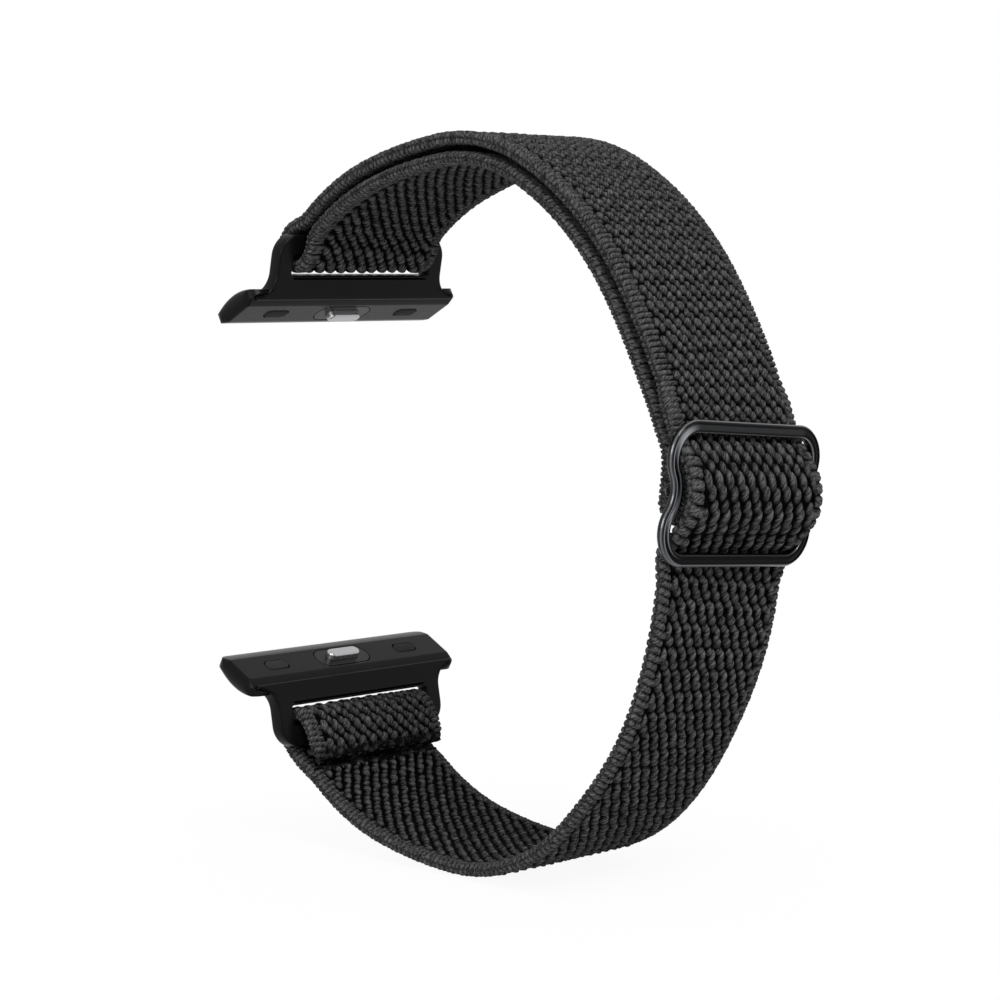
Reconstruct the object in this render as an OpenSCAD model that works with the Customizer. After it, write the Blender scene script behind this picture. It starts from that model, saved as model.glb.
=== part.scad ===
// Elastic nylon watch strap, standing as the loop that goes round a wrist.
// X runs from the two adapters to the slider, Y across the webbing, Z from the lower adapter to the upper.
// One webbing is sewn round the lower bar, threads the slider, goes over the top, turns round the upper bar
// and comes back to the slider's centre bar, so the upper half of the loop has two layers.

/* [Webbing] */
// Width of the webbing along the loop
web_w = 18; // [15:0.5:20]
// Thickness of the webbing
web_t = 1.5; // [1.3:0.1:1.6]
// Air between the two layers of the upper half
layer_gap = 0.5; // [0.3:0.1:0.8]
// Distance from an adapter's bar over which the two layers spread apart
spread_l = 6; // [5:0.5:9]
// How far the fold reaches past the bar, beyond lying tight on it
fold_slack = 0.45; // [0.2:0.05:0.6]
// How much wider each edge of the webbing gets where it is folded round a bar
fold_widening = 0.7; // [0.3:0.1:0.9]
// How much each edge of the webbing draws in where it threads the slider
thread_tuck = 0.4; // [0.4:0.1:0.8]
// Length of the webbing beside the slider that stretches as the slider moves
stretch_l = 18; // [14:1:22]
// Length of the sewn tail from the fold on the lower bar
tail_l = 5.4; // [4.6:0.2:8]

/* [Upper half of the loop] */
// Inward lean of the webbing where it leaves the slider upward
upper_lean = 19.5; // [16:0.5:22]
// Radius of the side above the slider
upper_side_r = 67; // [60:1:75]
// Turn of the side above the slider
upper_side_turn = 13.7; // [12:0.1:15]
// Radius of the shoulder
upper_shoulder_r = 33.5; // [31:0.5:36]
// Turn of the shoulder
upper_shoulder_turn = 29.3; // [27:0.1:31]
// Radius of the crown
upper_crown_r = 19.5; // [18:0.5:21]
// Turn of the crown
upper_crown_turn = 35.3; // [33:0.1:37]
// Radius of the slope down to the upper adapter
upper_slope_r = 45.5; // [42:0.5:48]
// Turn of the slope down to the upper adapter
upper_slope_turn = 14; // [12:0.1:16]
// Radius of the turn into the upper adapter
upper_end_r = 27; // [24:0.5:30]
// Turn into the upper adapter
upper_end_turn = 26; // [24:0.1:28]

/* [Lower half of the loop] */
// Inward lean of the webbing where it leaves the slider downward
lower_lean = 9; // [8:0.1:12]
// Length of the straight stretch below the slider
lower_side_l = 4.3; // [3:0.1:6]
// Radius of the lower shoulder
lower_shoulder_r = 40.7; // [38:0.1:43]
// Turn of the lower shoulder
lower_shoulder_turn = 36.2; // [34:0.1:38]
// Radius of the bottom
lower_crown_r = 20; // [18:0.5:22]
// Turn of the bottom
lower_crown_turn = 47; // [45:0.5:49]
// Radius of the slope up to the lower adapter
lower_slope_r = 53; // [50:0.5:56]
// Turn of the slope up to the lower adapter
lower_slope_turn = 11.2; // [9:0.1:13]
// Radius of the turn into the lower adapter
lower_end_r = 24.3; // [22:0.1:27]
// Turn into the lower adapter
lower_end_turn = 38.2; // [36:0.1:40]

/* [Slider] */
// Height of the slider along the webbing
slider_h = 14; // [13.4:0.2:15]
// Width of the slider's wire in its own plane
wire_w = 1.3; // [1.1:0.1:1.4]
// Depth of the slider's wire, front to back
wire_depth = 1.1; // [1:0.1:1.2]
// Height of the step on the front and the back of the wire
step_h = 0.3; // [0.25:0.05:0.35]
// How far each step is drawn in from the wire's edges
step_in = 0.25; // [0.2:0.05:0.3]
// How far each side of the waist is drawn in
waist_in = 1.05; // [0.8:0.05:1.2]
// Diameter of the slider's centre bar
bar_d = 1.3; // [1.1:0.1:1.4]
// How far the centre bar sits behind the middle of the frame
bar_sink = 1.05; // [0.9:0.05:1.2]
// Radius of the webbing's bulge over the centre bar
bulge_r = 5; // [4.6:0.1:5.4]
// Distance of the slider's middle from the origin along X
slider_x = 28.8; // [26:0.1:32]
// Height of the slider's middle above the origin
slider_z = 2.55; // [0:0.05:6]
// Outward lean of the slider's top
slider_lean = 5.5; // [3:0.5:8]

/* [Adapters] */
// Width of each arm beside the slot
arm_w = 2; // [1.6:0.1:2.4]
// Thickness of the arms and the neck
arm_t = 1.5; // [1.3:0.1:1.7]
// Diameter of the bar that carries the webbing
loop_bar_d = 2.2; // [2:0.1:2.4]
// Daylight between the fold and the far edge of the slot when they line up
slot_light = 0.2; // [0.15:0.05:0.4]
// Height of the neck between the slot and the lug
neck_h = 1.6; // [1.4:0.1:2]
// Radius of the outer corners beside the bar
corner_r = 2.4; // [2:0.1:2.6]
// Lean of each adapter's arms towards the wrist
adapter_lean = 10.6; // [6:0.2:14]
// Depth of the shallow recess between the slot and the lug
recess_depth = 0.35; // [0.2:0.05:0.5]
// Height of the shallow recess between the slot and the lug
recess_h = 0.75; // [0.5:0.05:0.9]
// How far each end of the recess stays inside the slot's width
recess_in = 0.2; // [0.1:0.05:0.4]
// How far the arms' ends stand above the bar
bar_cover = 0.05; // [0.02:0.01:0.2]
// How deep the neck runs into the lug
neck_root = 1; // [0.8:0.1:1.2]
// Height of the flare's foot above the end of the neck
flare_foot = 0.4; // [0.3:0.05:0.6]
// Distance from the foot of the flare to each end of the lug
flare_margin = 0.9; // [0.7:0.1:1.2]
// How far the lug's tip laps over the end of the slot's neck
lug_lap = 0.2; // [0.1:0.05:0.4]

/* [Lug] */
// Length of the slide-in lug
lug_l = 30.4; // [29:0.2:32]
// Depth of the lug's almond section, tip to tip
lug_c = 7.6; // [7.2:0.1:8]
// Greatest thickness of the lug's almond section
lug_t = 2.4; // [2.3:0.05:2.6]
// Angle between the lug's section and the arms
lug_angle = 51; // [48:1:54]
// Height of the cap cut off the almond to make the flat seat
seat_cut = 0.25; // [0.2:0.05:0.35]
// How much is taken off each sharp tip of the almond
tip_blunt = 0.25; // [0.15:0.05:0.35]
// Radius of the lug's corners in plan
lug_corner_r = 2.6; // [2:0.1:3]
// Radius of the hollow between the arms and the lug
neck_fillet_r = 1.6; // [1.2:0.1:2]

/* [Lock] */
// Length of the lock button's head
button_l = 4.4; // [4:0.1:5]
// Width of the lock button's head
button_w = 1.3; // [1.2:0.05:1.4]
// How far the lock button stands out of the lug's seat
button_out = 0.75; // [0.7:0.05:0.9]
// Travel of the lock button
button_travel = 0.6; // [0.4:0.05:0.65]
// Width of the rim that keeps the button in
button_rim = 0.3; // [0.25:0.05:0.4]
// Thickness of the button's rim
rim_t = 0.35; // [0.3:0.05:0.4]
// Thickness of the lock's cover plate
cover_t = 0.3; // [0.25:0.05:0.35]
// Width of the lock's cover plate
cover_w = 2.8; // [2.7:0.05:3]
// Length of the lock's cover plate
cover_l = 7.4; // [7:0.1:8]
// Thickness of the arched leaf spring
leaf_t = 0.12; // [0.1:0.01:0.14]
// Width of the arched leaf spring
leaf_w = 0.9; // [0.8:0.05:1]
// Spare height for the leaf spring under the pressed button
leaf_slack = 0.1; // [0.05:0.05:0.15]
// How far each end of the leaf spring stays inside the button's length
leaf_in = 0.2; // [0.1:0.05:0.3]
// Length of a grip pad
pad_l = 3; // [2.5:0.1:3.5]
// Width of a grip pad
pad_w = 1.4; // [1.2:0.1:1.6]
// How deep a grip pad is set into the lug
pad_deep = 0.5; // [0.4:0.05:0.6]
// How far a grip pad stands out of the seat
pad_out = 0.15; // [0.1:0.05:0.2]
// Distance of each grip pad from the middle of the lug
pad_y = 9.5; // [8:0.5:10.5]

/* [Sewing] */
// Diameter of the sewing thread
thread_d = 0.35; // [0.25:0.05:0.4]
// Length of one stitch
stitch_l = 1.5; // [1.2:0.1:1.8]
// Distance from one stitch to the next
stitch_pitch = 2; // [1.9:0.1:2.4]
// Distance between the two rows of stitches that close the fold
row_pitch = 1.2; // [1:0.1:1.5]
// Air between a stitch and the webbing that it lies on
stitch_lift = 0.02; // [0.01:0.01:0.04]

/* [Fits] */
// Running clearance of a bar inside its fold of webbing
fold_clear = 0.04; // [0.03:0.01:0.1]
// Clearance between metal pieces that slide in one another
slide_clear = 0.05; // [0.03:0.01:0.08]
// Clearance between webbing and webbing or webbing and the slider
lie_clear = 0.05; // [0.03:0.01:0.1]
// Side clearance of a fold in its slot
slot_clear = 0.3; // [0.2:0.05:0.4]
// Side clearance of the threaded webbing in the slider's waist
waist_clear = 0.35; // [0.2:0.05:0.5]

/* [Hidden] */
cut = 0.01;
path_step = 1.6;
fold_w = web_w + 2 * fold_widening;
thread_w = web_w - 2 * thread_tuck;
slot_w = fold_w + 2 * slot_clear;
adapter_w = slot_w + 2 * arm_w;
slider_w = thread_w + 2 * (waist_clear + wire_w + waist_in);
// Distances of a layer's middle surface from the middle line: side by side, round a bar, and sewn down
half_lay = (web_t + layer_gap) / 2;
fold_r = loop_bar_d / 2 + fold_clear + web_t / 2;
tail_lay = web_t + lie_clear - half_lay;

// A leg of a path is [radius, turn], and a turn of 0 makes it straight with the radius as its length
upper_legs = [[upper_side_r, upper_side_turn], [upper_shoulder_r, upper_shoulder_turn],
    [upper_crown_r, upper_crown_turn], [upper_slope_r, upper_slope_turn], [upper_end_r, upper_end_turn]];
lower_legs = [[lower_side_l, 0], [lower_shoulder_r, lower_shoulder_turn],
    [lower_crown_r, lower_crown_turn], [lower_slope_r, lower_slope_turn], [lower_end_r, lower_end_turn]];
function leg_len(leg) = leg[1] == 0 ? leg[0] : leg[0] * leg[1] * PI / 180;
function legs_len(legs, i = 0) = i == len(legs) ? 0 : leg_len(legs[i]) + legs_len(legs, i + 1);
// A place on a path is [x, z, heading], and the heading is 0 along +Z and turns towards -X
function leg_end(place, leg, s) = leg[1] == 0 ?
    [place[0] - s * sin(place[2]), place[1] + s * cos(place[2]), place[2]] :
    let (h = place[2] + leg[1] * s / leg_len(leg))
    [place[0] + leg[0] * (cos(h) - cos(place[2])), place[1] + leg[0] * (sin(h) - sin(place[2])), h];
function along(place, legs, s, i = 0) = i == len(legs) - 1 || s <= leg_len(legs[i]) ?
    leg_end(place, legs[i], s) :
    along(leg_end(place, legs[i], leg_len(legs[i])), legs, s - leg_len(legs[i]), i + 1);
function aside(place, d) = [place[0] + d * cos(place[2]), place[1] + d * sin(place[2])];
function ease(u) = let (v = max(0, min(1, u))) v * v * (3 - 2 * v);
// How far a layer lies from the middle line, easing from its distance in the run to that round the bar
function spread(s, l, lay) = lay + (fold_r - lay) * ease((s - l + fold_slack + spread_l) / spread_l);

// The slider's own plane: n points out of the loop and t up along the slider
slider_bar = (slider_h - wire_w) / 2;
wrap_r = wire_w / 2 + lie_clear + web_t / 2;
loop_r = bar_d / 2 + lie_clear + web_t / 2;
bulge_n = loop_r + web_t + lie_clear - bar_sink - bulge_r;
bulge_turn = asin((bulge_r + wrap_r) / norm([bulge_n, slider_bar])) - atan2(-bulge_n, slider_bar);
upper_exit = upper_lean + slider_lean;
lower_exit = lower_lean - slider_lean;
end_turn = 52;
function off_slider(n, t) = [slider_x + n * cos(slider_lean) + t * sin(slider_lean),
    slider_z - n * sin(slider_lean) + t * cos(slider_lean)];
function exit_n(exit, r) = -r * cos(exit);
function exit_t(exit, r) = slider_bar - r * sin(exit);

// The middle line between the two layers, up from the slider and, mirrored in Z, down from it
mid_exit_r = wrap_r + half_lay;
upper_from = off_slider(exit_n(upper_exit, mid_exit_r), exit_t(upper_exit, mid_exit_r));
lower_from = off_slider(exit_n(lower_exit, mid_exit_r), -exit_t(lower_exit, mid_exit_r));
upper_start = [upper_from[0], upper_from[1], upper_lean];
lower_start = [lower_from[0], -lower_from[1], lower_lean];
upper_l = legs_len(upper_legs);
lower_l = legs_len(lower_legs);
upper_eye = along(upper_start, upper_legs, upper_l);
lower_eye = along(lower_start, lower_legs, lower_l);
upper_bar = along(upper_start, upper_legs, upper_l - fold_slack);
lower_bar = along(lower_start, lower_legs, lower_l - fold_slack);

// Sizes of an adapter, seen from its bar with the arms along Z
slot_z = -(fold_r + web_t / 2 + fold_slack + slot_light);
neck_z = slot_z - neck_h;
adapter_top = loop_bar_d / 2 + bar_cover;
flare_r = (lug_l - adapter_w) / 2 - flare_margin;
almond_r = (lug_c * lug_c / 4 + lug_t * lug_t / 4) / lug_t;
seat_d = lug_t / 2 - seat_cut;
lug_tip = [arm_t / 2, neck_z + lug_lap];
lug_mid = [lug_tip[0] - lug_c / 2 * sin(lug_angle), lug_tip[1] - lug_c / 2 * cos(lug_angle)];
rim_top = seat_d - cover_t - slide_clear;
spring_room = button_travel + leaf_t + leaf_slack;
pocket_z = rim_top - rim_t - spring_room;

function backwards(p) = [for (i = [len(p) - 1:-1:0]) p[i]];
// Points of an arc about c, with angles measured from the first axis towards the second
function arc(c, r, a0, a1, n) = [for (i = [0:n]) let (a = a0 + (a1 - a0) * i / n)
    [c[0] + r * cos(a), c[1] + r * sin(a)]];

// Lies in the plane of the loop, with X and Z as the drawing's axes, and has the width w
module across(w) {
    rotate([90, 0, 0]) linear_extrude(w, center = true) children();
}

// A ribbon of webbing beside the middle line, on the outer side (1) or the inner side (-1)
module ribbon(start, legs, s0, s1, side, lay, w) {
    l = legs_len(legs);
    n = ceil((s1 - s0) / path_step);
    stations = [for (i = [0:n]) s0 + (s1 - s0) * i / n];
    outer = [for (s = stations) aside(along(start, legs, s), side * spread(s, l, lay) + web_t / 2)];
    inner = [for (s = stations) aside(along(start, legs, s), side * spread(s, l, lay) - web_t / 2)];
    across(w) polygon(concat(outer, backwards(inner)));
}

// The half turn of webbing round an adapter's bar, centred in its eye
module fold(eye) {
    size = 4 * (fold_r + web_t);
    translate([eye[0], 0, eye[1]]) rotate([0, -eye[2], 0]) difference() {
        rotate([90, 0, 0]) cylinder(h = fold_w, r = fold_r + web_t / 2, center = true, $fn = 64);
        rotate([90, 0, 0]) cylinder(h = fold_w + 2 * cut, r = fold_r - web_t / 2, center = true, $fn = 64);
        translate([0, 0, -size / 2]) cube([size, size + fold_w, size], center = true);
    }
}

// The half below the slider is drawn upward and mirrored
module lower_half() {
    mirror([0, 0, 1]) children();
}

module lower_run() {
    color("#26262a") lower_half() ribbon(lower_start, lower_legs, stretch_l, lower_l, 1, half_lay, web_w);
}

module lower_stretch() {
    color("#2c2c30") lower_half() ribbon(lower_start, lower_legs, 0, stretch_l, 1, half_lay, web_w);
}

module lower_fold() {
    color("#222226") lower_half() {
        fold(lower_eye);
        ribbon(lower_start, lower_legs, lower_l - tail_l, lower_l, -1, tail_lay, fold_w);
    }
}

module outer_run() {
    color("#26262a") ribbon(upper_start, upper_legs, stretch_l, upper_l, 1, half_lay, web_w);
}

module outer_stretch() {
    color("#2c2c30") ribbon(upper_start, upper_legs, 0, stretch_l, 1, half_lay, web_w);
}

module inner_run() {
    color("#29292d") ribbon(upper_start, upper_legs, stretch_l, upper_l, -1, half_lay, web_w);
}

module inner_stretch() {
    color("#2f2f33") ribbon(upper_start, upper_legs, 0, stretch_l, -1, half_lay, web_w);
}

module upper_fold() {
    color("#222226") fold(upper_eye);
}

// Turns from the slider's plane into the loop's, with n along X and t along Z
module at_slider() {
    translate([slider_x, 0, slider_z]) rotate([0, slider_lean, 0]) children();
}

// The threaded webbing passes behind both end bars and bulges out over the centre bar
function pass_edge(e) = concat(
    arc([0, -slider_bar], wrap_r - e, 180 - lower_exit, 180 - bulge_turn, 4),
    arc([bulge_n, 0], bulge_r + e, -bulge_turn, bulge_turn, 16),
    arc([0, slider_bar], wrap_r - e, 180 + bulge_turn, 180 + upper_exit, 4));

module slider_pass() {
    color("#28282c") at_slider() across(thread_w)
        polygon(concat(pass_edge(web_t / 2), backwards(pass_edge(-web_t / 2))));
}

// A cubic curve from p0 along d0 to p1 along d1
function cubic(p0, d0, p1, d1, u) = pow(1 - u, 3) * p0 + 3 * pow(1 - u, 2) * u * (p0 + d0)
    + 3 * (1 - u) * u * u * (p1 - d1) + pow(u, 3) * p1;
// The inner layer's end comes down behind the slider and turns up round the centre bar
inner_exit_r = wrap_r + 2 * half_lay;
inner_top = [exit_n(upper_exit, inner_exit_r), exit_t(upper_exit, inner_exit_r)];
inner_foot = [-bar_sink - loop_r, 0];
inner_reach = inner_top[1] / 3;
function drop_edge(e) = [for (i = [0:8]) cubic(inner_top + e * [cos(upper_exit), sin(upper_exit)],
    inner_reach * [sin(upper_exit), -cos(upper_exit)], inner_foot + [e, 0], [0, -inner_reach], i / 8)];
function end_edge(e) = concat(drop_edge(e), arc([-bar_sink, 0], loop_r - e, 180, 360, 16),
    arc([bulge_n, 0], bulge_r - web_t - lie_clear + e, 0, end_turn, 8));

module end_loop() {
    color("#2a2a2e") at_slider() across(thread_w)
        polygon(concat(end_edge(web_t / 2), backwards(end_edge(-web_t / 2))));
}

// A row of stitches across the webbing at a point of the loop's plane
module stitch_row(at, w) {
    n = floor(w / stitch_pitch);
    for (i = [0:n - 1])
        translate([at[0], (i - (n - 1) / 2) * stitch_pitch, at[1]]) rotate([90, 0, 0])
            cylinder(h = stitch_l, d = thread_d, center = true, $fn = 16);
}

module fold_stitches() {
    seat = web_t / 2 + thread_d / 2 + stitch_lift;
    color("#1c1c1f") lower_half() for (row = [1:2]) {
        s = lower_l - tail_l + row * row_pitch;
        place = along(lower_start, lower_legs, s);
        stitch_row(aside(place, spread(s, lower_l, half_lay) + seat), web_w);
        stitch_row(aside(place, -spread(s, lower_l, tail_lay) - seat), web_w);
    }
}

module end_stitches() {
    color("#1c1c1f") at_slider()
        stitch_row([inner_foot[0] - web_t / 2 - thread_d / 2 - stitch_lift, 0], thread_w);
}

// A bar with round ends
module lozenge(w, r) {
    square([w - 2 * r, 2 * r], center = true);
    for (side = [-1, 1]) translate([side * (w / 2 - r), 0]) circle(r = r, $fn = 64);
}

// The slider's outline drawn in by inset: two lozenges that flow together in a hollow waist
module slider_outline(inset) {
    lobe_r = slider_h / 4;
    lobe_y = slider_w / 2 - lobe_r;
    reach = (waist_in * waist_in + lobe_r * lobe_r) / (2 * waist_in);
    hollow_y = slider_w / 2 - waist_in + reach - lobe_r;
    join_y = lobe_y + lobe_r * (reach - waist_in) / reach;
    join_z = lobe_r - lobe_r * lobe_r / reach;
    for (side = [-1, 1]) translate([0, side * lobe_r]) lozenge(slider_w - 2 * inset, lobe_r - inset);
    difference() {
        square([2 * join_y, 2 * join_z + 2 * inset], center = true);
        for (side = [-1, 1]) translate([side * hollow_y, 0])
            circle(r = reach - lobe_r + inset, $fn = 64);
    }
}

// One layer of the wire, with the window crossed by nothing
module slider_layer(x0, depth, inset) {
    translate([x0, 0, 0]) rotate([90, 0, 90]) linear_extrude(depth) difference() {
        slider_outline(inset);
        slider_outline(wire_w - inset);
    }
}

module slider_frame() {
    ear_y = thread_w / 2 + waist_clear;
    core = wire_depth / 2 - step_h;
    color("#2e2f33") at_slider() {
        slider_layer(-core, 2 * core, 0);
        slider_layer(-core - step_h, 2 * core + 2 * step_h, step_in);
        translate([-bar_sink, 0, 0]) rotate([90, 0, 0])
            cylinder(h = 2 * ear_y + wire_w, d = bar_d, center = true, $fn = 48);
        for (side = [-1, 1]) translate([-bar_sink / 2, side * (ear_y + wire_w / 2), 0])
            cube([bar_sink, wire_w - 2 * step_in, bar_d], center = true);
    }
}

// The upper adapter stands on its bar with its arms leaning in, and the lower one is its mirror image
module at_upper() {
    translate([upper_bar[0], 0, upper_bar[1]]) rotate([0, adapter_lean, 0]) children();
}

module at_lower() {
    lower_half() translate([lower_bar[0], 0, lower_bar[1]]) rotate([0, adapter_lean, 0]) children();
}

// Turns into the lug's own axes: X along the almond, Z out of the flat seat
module at_lug() {
    translate([lug_mid[0], 0, lug_mid[1]]) rotate([0, lug_angle - 90, 0]) mirror([0, 0, 1]) children();
}

// Two equal arcs meeting in tips, without the cap that the seat cuts off
module almond() {
    intersection() {
        translate([0, almond_r - lug_t / 2]) circle(r = almond_r, $fn = 180);
        translate([0, lug_t / 2 - almond_r]) circle(r = almond_r, $fn = 180);
        translate([0, seat_d - lug_t]) square([2 * lug_c, 2 * lug_t], center = true);
    }
}

module lug_plan() {
    depth = lug_c - 2 * tip_blunt;
    square([depth, lug_l - 2 * lug_corner_r], center = true);
    square([depth - 2 * lug_corner_r, lug_l], center = true);
    for (x = [-1, 1], y = [-1, 1])
        translate([x * (depth / 2 - lug_corner_r), y * (lug_l / 2 - lug_corner_r)])
            circle(r = lug_corner_r, $fn = 48);
}

// The arms, open between them, over the neck that flares to the lug
module arms_outline() {
    half = adapter_w / 2;
    difference() {
        union() {
            translate([-half, neck_z - neck_root])
                square([adapter_w, adapter_top - corner_r - neck_z + neck_root]);
            for (side = [-1, 1]) translate([side * (half - corner_r), adapter_top - corner_r])
                circle(r = corner_r, $fn = 64);
            translate([-half + corner_r, adapter_top - 2 * corner_r])
                square([adapter_w - 2 * corner_r, 2 * corner_r]);
            translate([-half - flare_r, neck_z - neck_root])
                square([adapter_w + 2 * flare_r, flare_r + flare_foot]);
        }
        translate([-slot_w / 2, slot_z]) square([slot_w, 2 * adapter_top - slot_z]);
        for (side = [-1, 1]) translate([side * (half + flare_r), neck_z - neck_root + flare_foot + flare_r])
            circle(r = flare_r, $fn = 48);
    }
}

// Fills the corner behind the neck down to the lug, with a round hollow
module neck_web() {
    x0 = -arm_t / 2;
    across(adapter_w) difference() {
        translate([x0 - neck_fillet_r, neck_z - neck_h])
            square([neck_fillet_r + cut, neck_h + neck_fillet_r / 2]);
        translate([x0 - neck_fillet_r, neck_z + neck_fillet_r / 2]) circle(r = neck_fillet_r, $fn = 48);
    }
}

module lozenge_y(l, r) {
    rotate([0, 0, 90]) lozenge(l, r);
}

module grip_pads(grow) {
    for (side = [-1, 1]) translate([0, side * pad_y, seat_d - pad_deep - grow])
        linear_extrude(pad_deep + pad_out + grow) lozenge_y(pad_l + 2 * grow, pad_w / 2 + grow);
}

module lock_pocket() {
    translate([0, 0, pocket_z]) linear_extrude(lug_t)
        lozenge_y(button_l + 2 * button_rim + 2 * slide_clear, button_w / 2 + button_rim + slide_clear);
    translate([0, 0, seat_d - cover_t]) linear_extrude(lug_t)
        lozenge_y(cover_l + 2 * slide_clear, cover_w / 2 + slide_clear);
}

// Head and rim of the lock button, in the lug's own axes
module lock_button() {
    translate([0, 0, rim_top - rim_t]) linear_extrude(rim_t)
        lozenge_y(button_l + 2 * button_rim, button_w / 2 + button_rim);
    translate([0, 0, rim_top - cut]) linear_extrude(seat_d + button_out - rim_top + cut)
        lozenge_y(button_l, button_w / 2);
}

module lock_cover() {
    translate([0, 0, seat_d - cover_t]) linear_extrude(cover_t) difference() {
        lozenge_y(cover_l, cover_w / 2);
        lozenge_y(button_l + 2 * slide_clear, button_w / 2 + slide_clear);
    }
}

// An arched strip between the floor of the pocket and the button's rim
module lock_spring() {
    rise = spring_room - 2 * slide_clear - leaf_t;
    half = button_l / 2 - leaf_in;
    bow_r = (half * half + rise * rise) / (2 * rise);
    bow = asin(half / bow_r);
    translate([0, 0, pocket_z + slide_clear]) rotate([90, 0, 90]) linear_extrude(leaf_w, center = true)
        polygon(concat(arc([0, rise - bow_r], bow_r + leaf_t, 90 - bow, 90 + bow, 16),
            backwards(arc([0, rise - bow_r], bow_r, 90 - bow, 90 + bow, 16))));
}

module adapter_frame() {
    difference() {
        union() {
            translate([-arm_t / 2, 0, 0]) rotate([90, 0, 90]) linear_extrude(arm_t) arms_outline();
            rotate([90, 0, 0]) cylinder(h = slot_w + arm_w, d = loop_bar_d, center = true, $fn = 64);
            at_lug() intersection() {
                rotate([90, 0, 0]) linear_extrude(lug_l, center = true) almond();
                translate([0, 0, -lug_t]) linear_extrude(2 * lug_t) lug_plan();
            }
            neck_web();
        }
        translate([arm_t / 2 - recess_depth, 0, slot_z - recess_h / 2]) rotate([90, 0, 90])
            linear_extrude(arm_t) lozenge(slot_w - 2 * recess_in, recess_h / 2 + cut);
        at_lug() lock_pocket();
        at_lug() grip_pads(slide_clear);
    }
}

module upper_adapter_frame() {
    color("#2b2b2d") at_upper() adapter_frame();
}

module upper_lock_button() {
    color("#8d8f93") at_upper() at_lug() lock_button();
}

module upper_lock_spring() {
    color("#b4b6ba") at_upper() at_lug() lock_spring();
}

module upper_lock_cover() {
    color("#55575b") at_upper() at_lug() lock_cover();
}

module upper_grip_pads() {
    color("#18181a") at_upper() at_lug() grip_pads(0);
}

module lower_adapter_frame() {
    color("#2b2b2d") at_lower() adapter_frame();
}

module lower_lock_button() {
    color("#8d8f93") at_lower() at_lug() lock_button();
}

module lower_lock_spring() {
    color("#b4b6ba") at_lower() at_lug() lock_spring();
}

module lower_lock_cover() {
    color("#55575b") at_lower() at_lug() lock_cover();
}

module lower_grip_pads() {
    color("#18181a") at_lower() at_lug() grip_pads(0);
}

lower_run();
lower_stretch();
lower_fold();
outer_run();
outer_stretch();
inner_run();
inner_stretch();
upper_fold();
slider_pass();
end_loop();
fold_stitches();
end_stitches();
slider_frame();
upper_adapter_frame();
upper_lock_button();
upper_lock_spring();
upper_lock_cover();
upper_grip_pads();
lower_adapter_frame();
lower_lock_button();
lower_lock_spring();
lower_lock_cover();
lower_grip_pads();
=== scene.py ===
"""Looks of an elastic nylon strap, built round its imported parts.
Lengths are millimetres until a mesh is made."""
import math

import bpy
import numpy as np
from mathutils import Matrix, Vector


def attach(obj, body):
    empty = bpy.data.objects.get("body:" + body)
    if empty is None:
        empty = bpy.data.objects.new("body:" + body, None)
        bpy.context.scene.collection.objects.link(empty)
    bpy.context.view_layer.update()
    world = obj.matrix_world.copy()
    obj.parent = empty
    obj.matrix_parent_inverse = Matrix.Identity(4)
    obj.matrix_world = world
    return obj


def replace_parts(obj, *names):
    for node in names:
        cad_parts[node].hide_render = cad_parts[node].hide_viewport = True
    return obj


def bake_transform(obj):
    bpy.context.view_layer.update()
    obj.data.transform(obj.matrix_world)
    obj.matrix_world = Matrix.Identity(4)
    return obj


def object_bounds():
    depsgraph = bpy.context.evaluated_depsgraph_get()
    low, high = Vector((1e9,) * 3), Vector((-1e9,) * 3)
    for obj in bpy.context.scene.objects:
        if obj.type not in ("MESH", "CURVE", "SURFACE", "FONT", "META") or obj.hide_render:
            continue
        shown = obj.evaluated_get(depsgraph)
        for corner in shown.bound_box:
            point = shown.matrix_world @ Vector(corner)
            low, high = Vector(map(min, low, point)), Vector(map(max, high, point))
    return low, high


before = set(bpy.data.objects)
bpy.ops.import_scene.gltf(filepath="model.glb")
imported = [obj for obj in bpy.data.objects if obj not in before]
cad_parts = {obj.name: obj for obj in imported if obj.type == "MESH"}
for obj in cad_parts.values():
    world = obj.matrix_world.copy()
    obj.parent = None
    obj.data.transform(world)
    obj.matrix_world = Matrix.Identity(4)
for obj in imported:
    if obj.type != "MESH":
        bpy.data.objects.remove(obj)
cad_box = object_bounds()
MM = 0.001

# Webbing
WEB_W, WEB_T, LAYER_GAP = 18.0, 1.5, 0.5
THREAD_D, STITCH_L, STITCH_PITCH, ROW_PITCH = 0.35, 1.5, 2.0, 1.4
SPREAD_L, UPPER_SPREAD_L, FOLD_SLACK, TAIL_L, STRETCH_L = 6.0, 3.0, 0.45, 4.6, 18.0
FOLD_W, THREAD_W, PASS_W, BULGE_W = 19.4, 17.2, 19.3, 19.7
WIDTH_EASE, FOLD_WIDE, END_NARROW = 3.0, 12.0, 2.0
PASS_FROM, PASS_TO, BULGE_FROM, BULGE_TO = -9.0, 8.0, -5.0, 3.0
LOOP_BAR_D, FOLD_CLEAR, LIE_CLEAR = 2.2, 0.14, 0.05
HALF_LAY = (WEB_T + LAYER_GAP) / 2
FOLD_R = LOOP_BAR_D / 2 + FOLD_CLEAR + WEB_T / 2
TAIL_LAY = WEB_T + LIE_CLEAR - HALF_LAY

# Legs of the loop's two halves, each a radius and a turn in degrees, where a turn of 0 is straight
UPPER_LEGS = ((67, 13.7), (33.5, 29.3), (19.5, 35.3), (45.5, 14), (27, 26))
LOWER_LEGS = ((4.3, 0), (40.7, 36.2), (20, 47), (53, 11.2), (24.3, 38.2))
UPPER_LEAN, LOWER_LEAN = 19.5, 9.0

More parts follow.
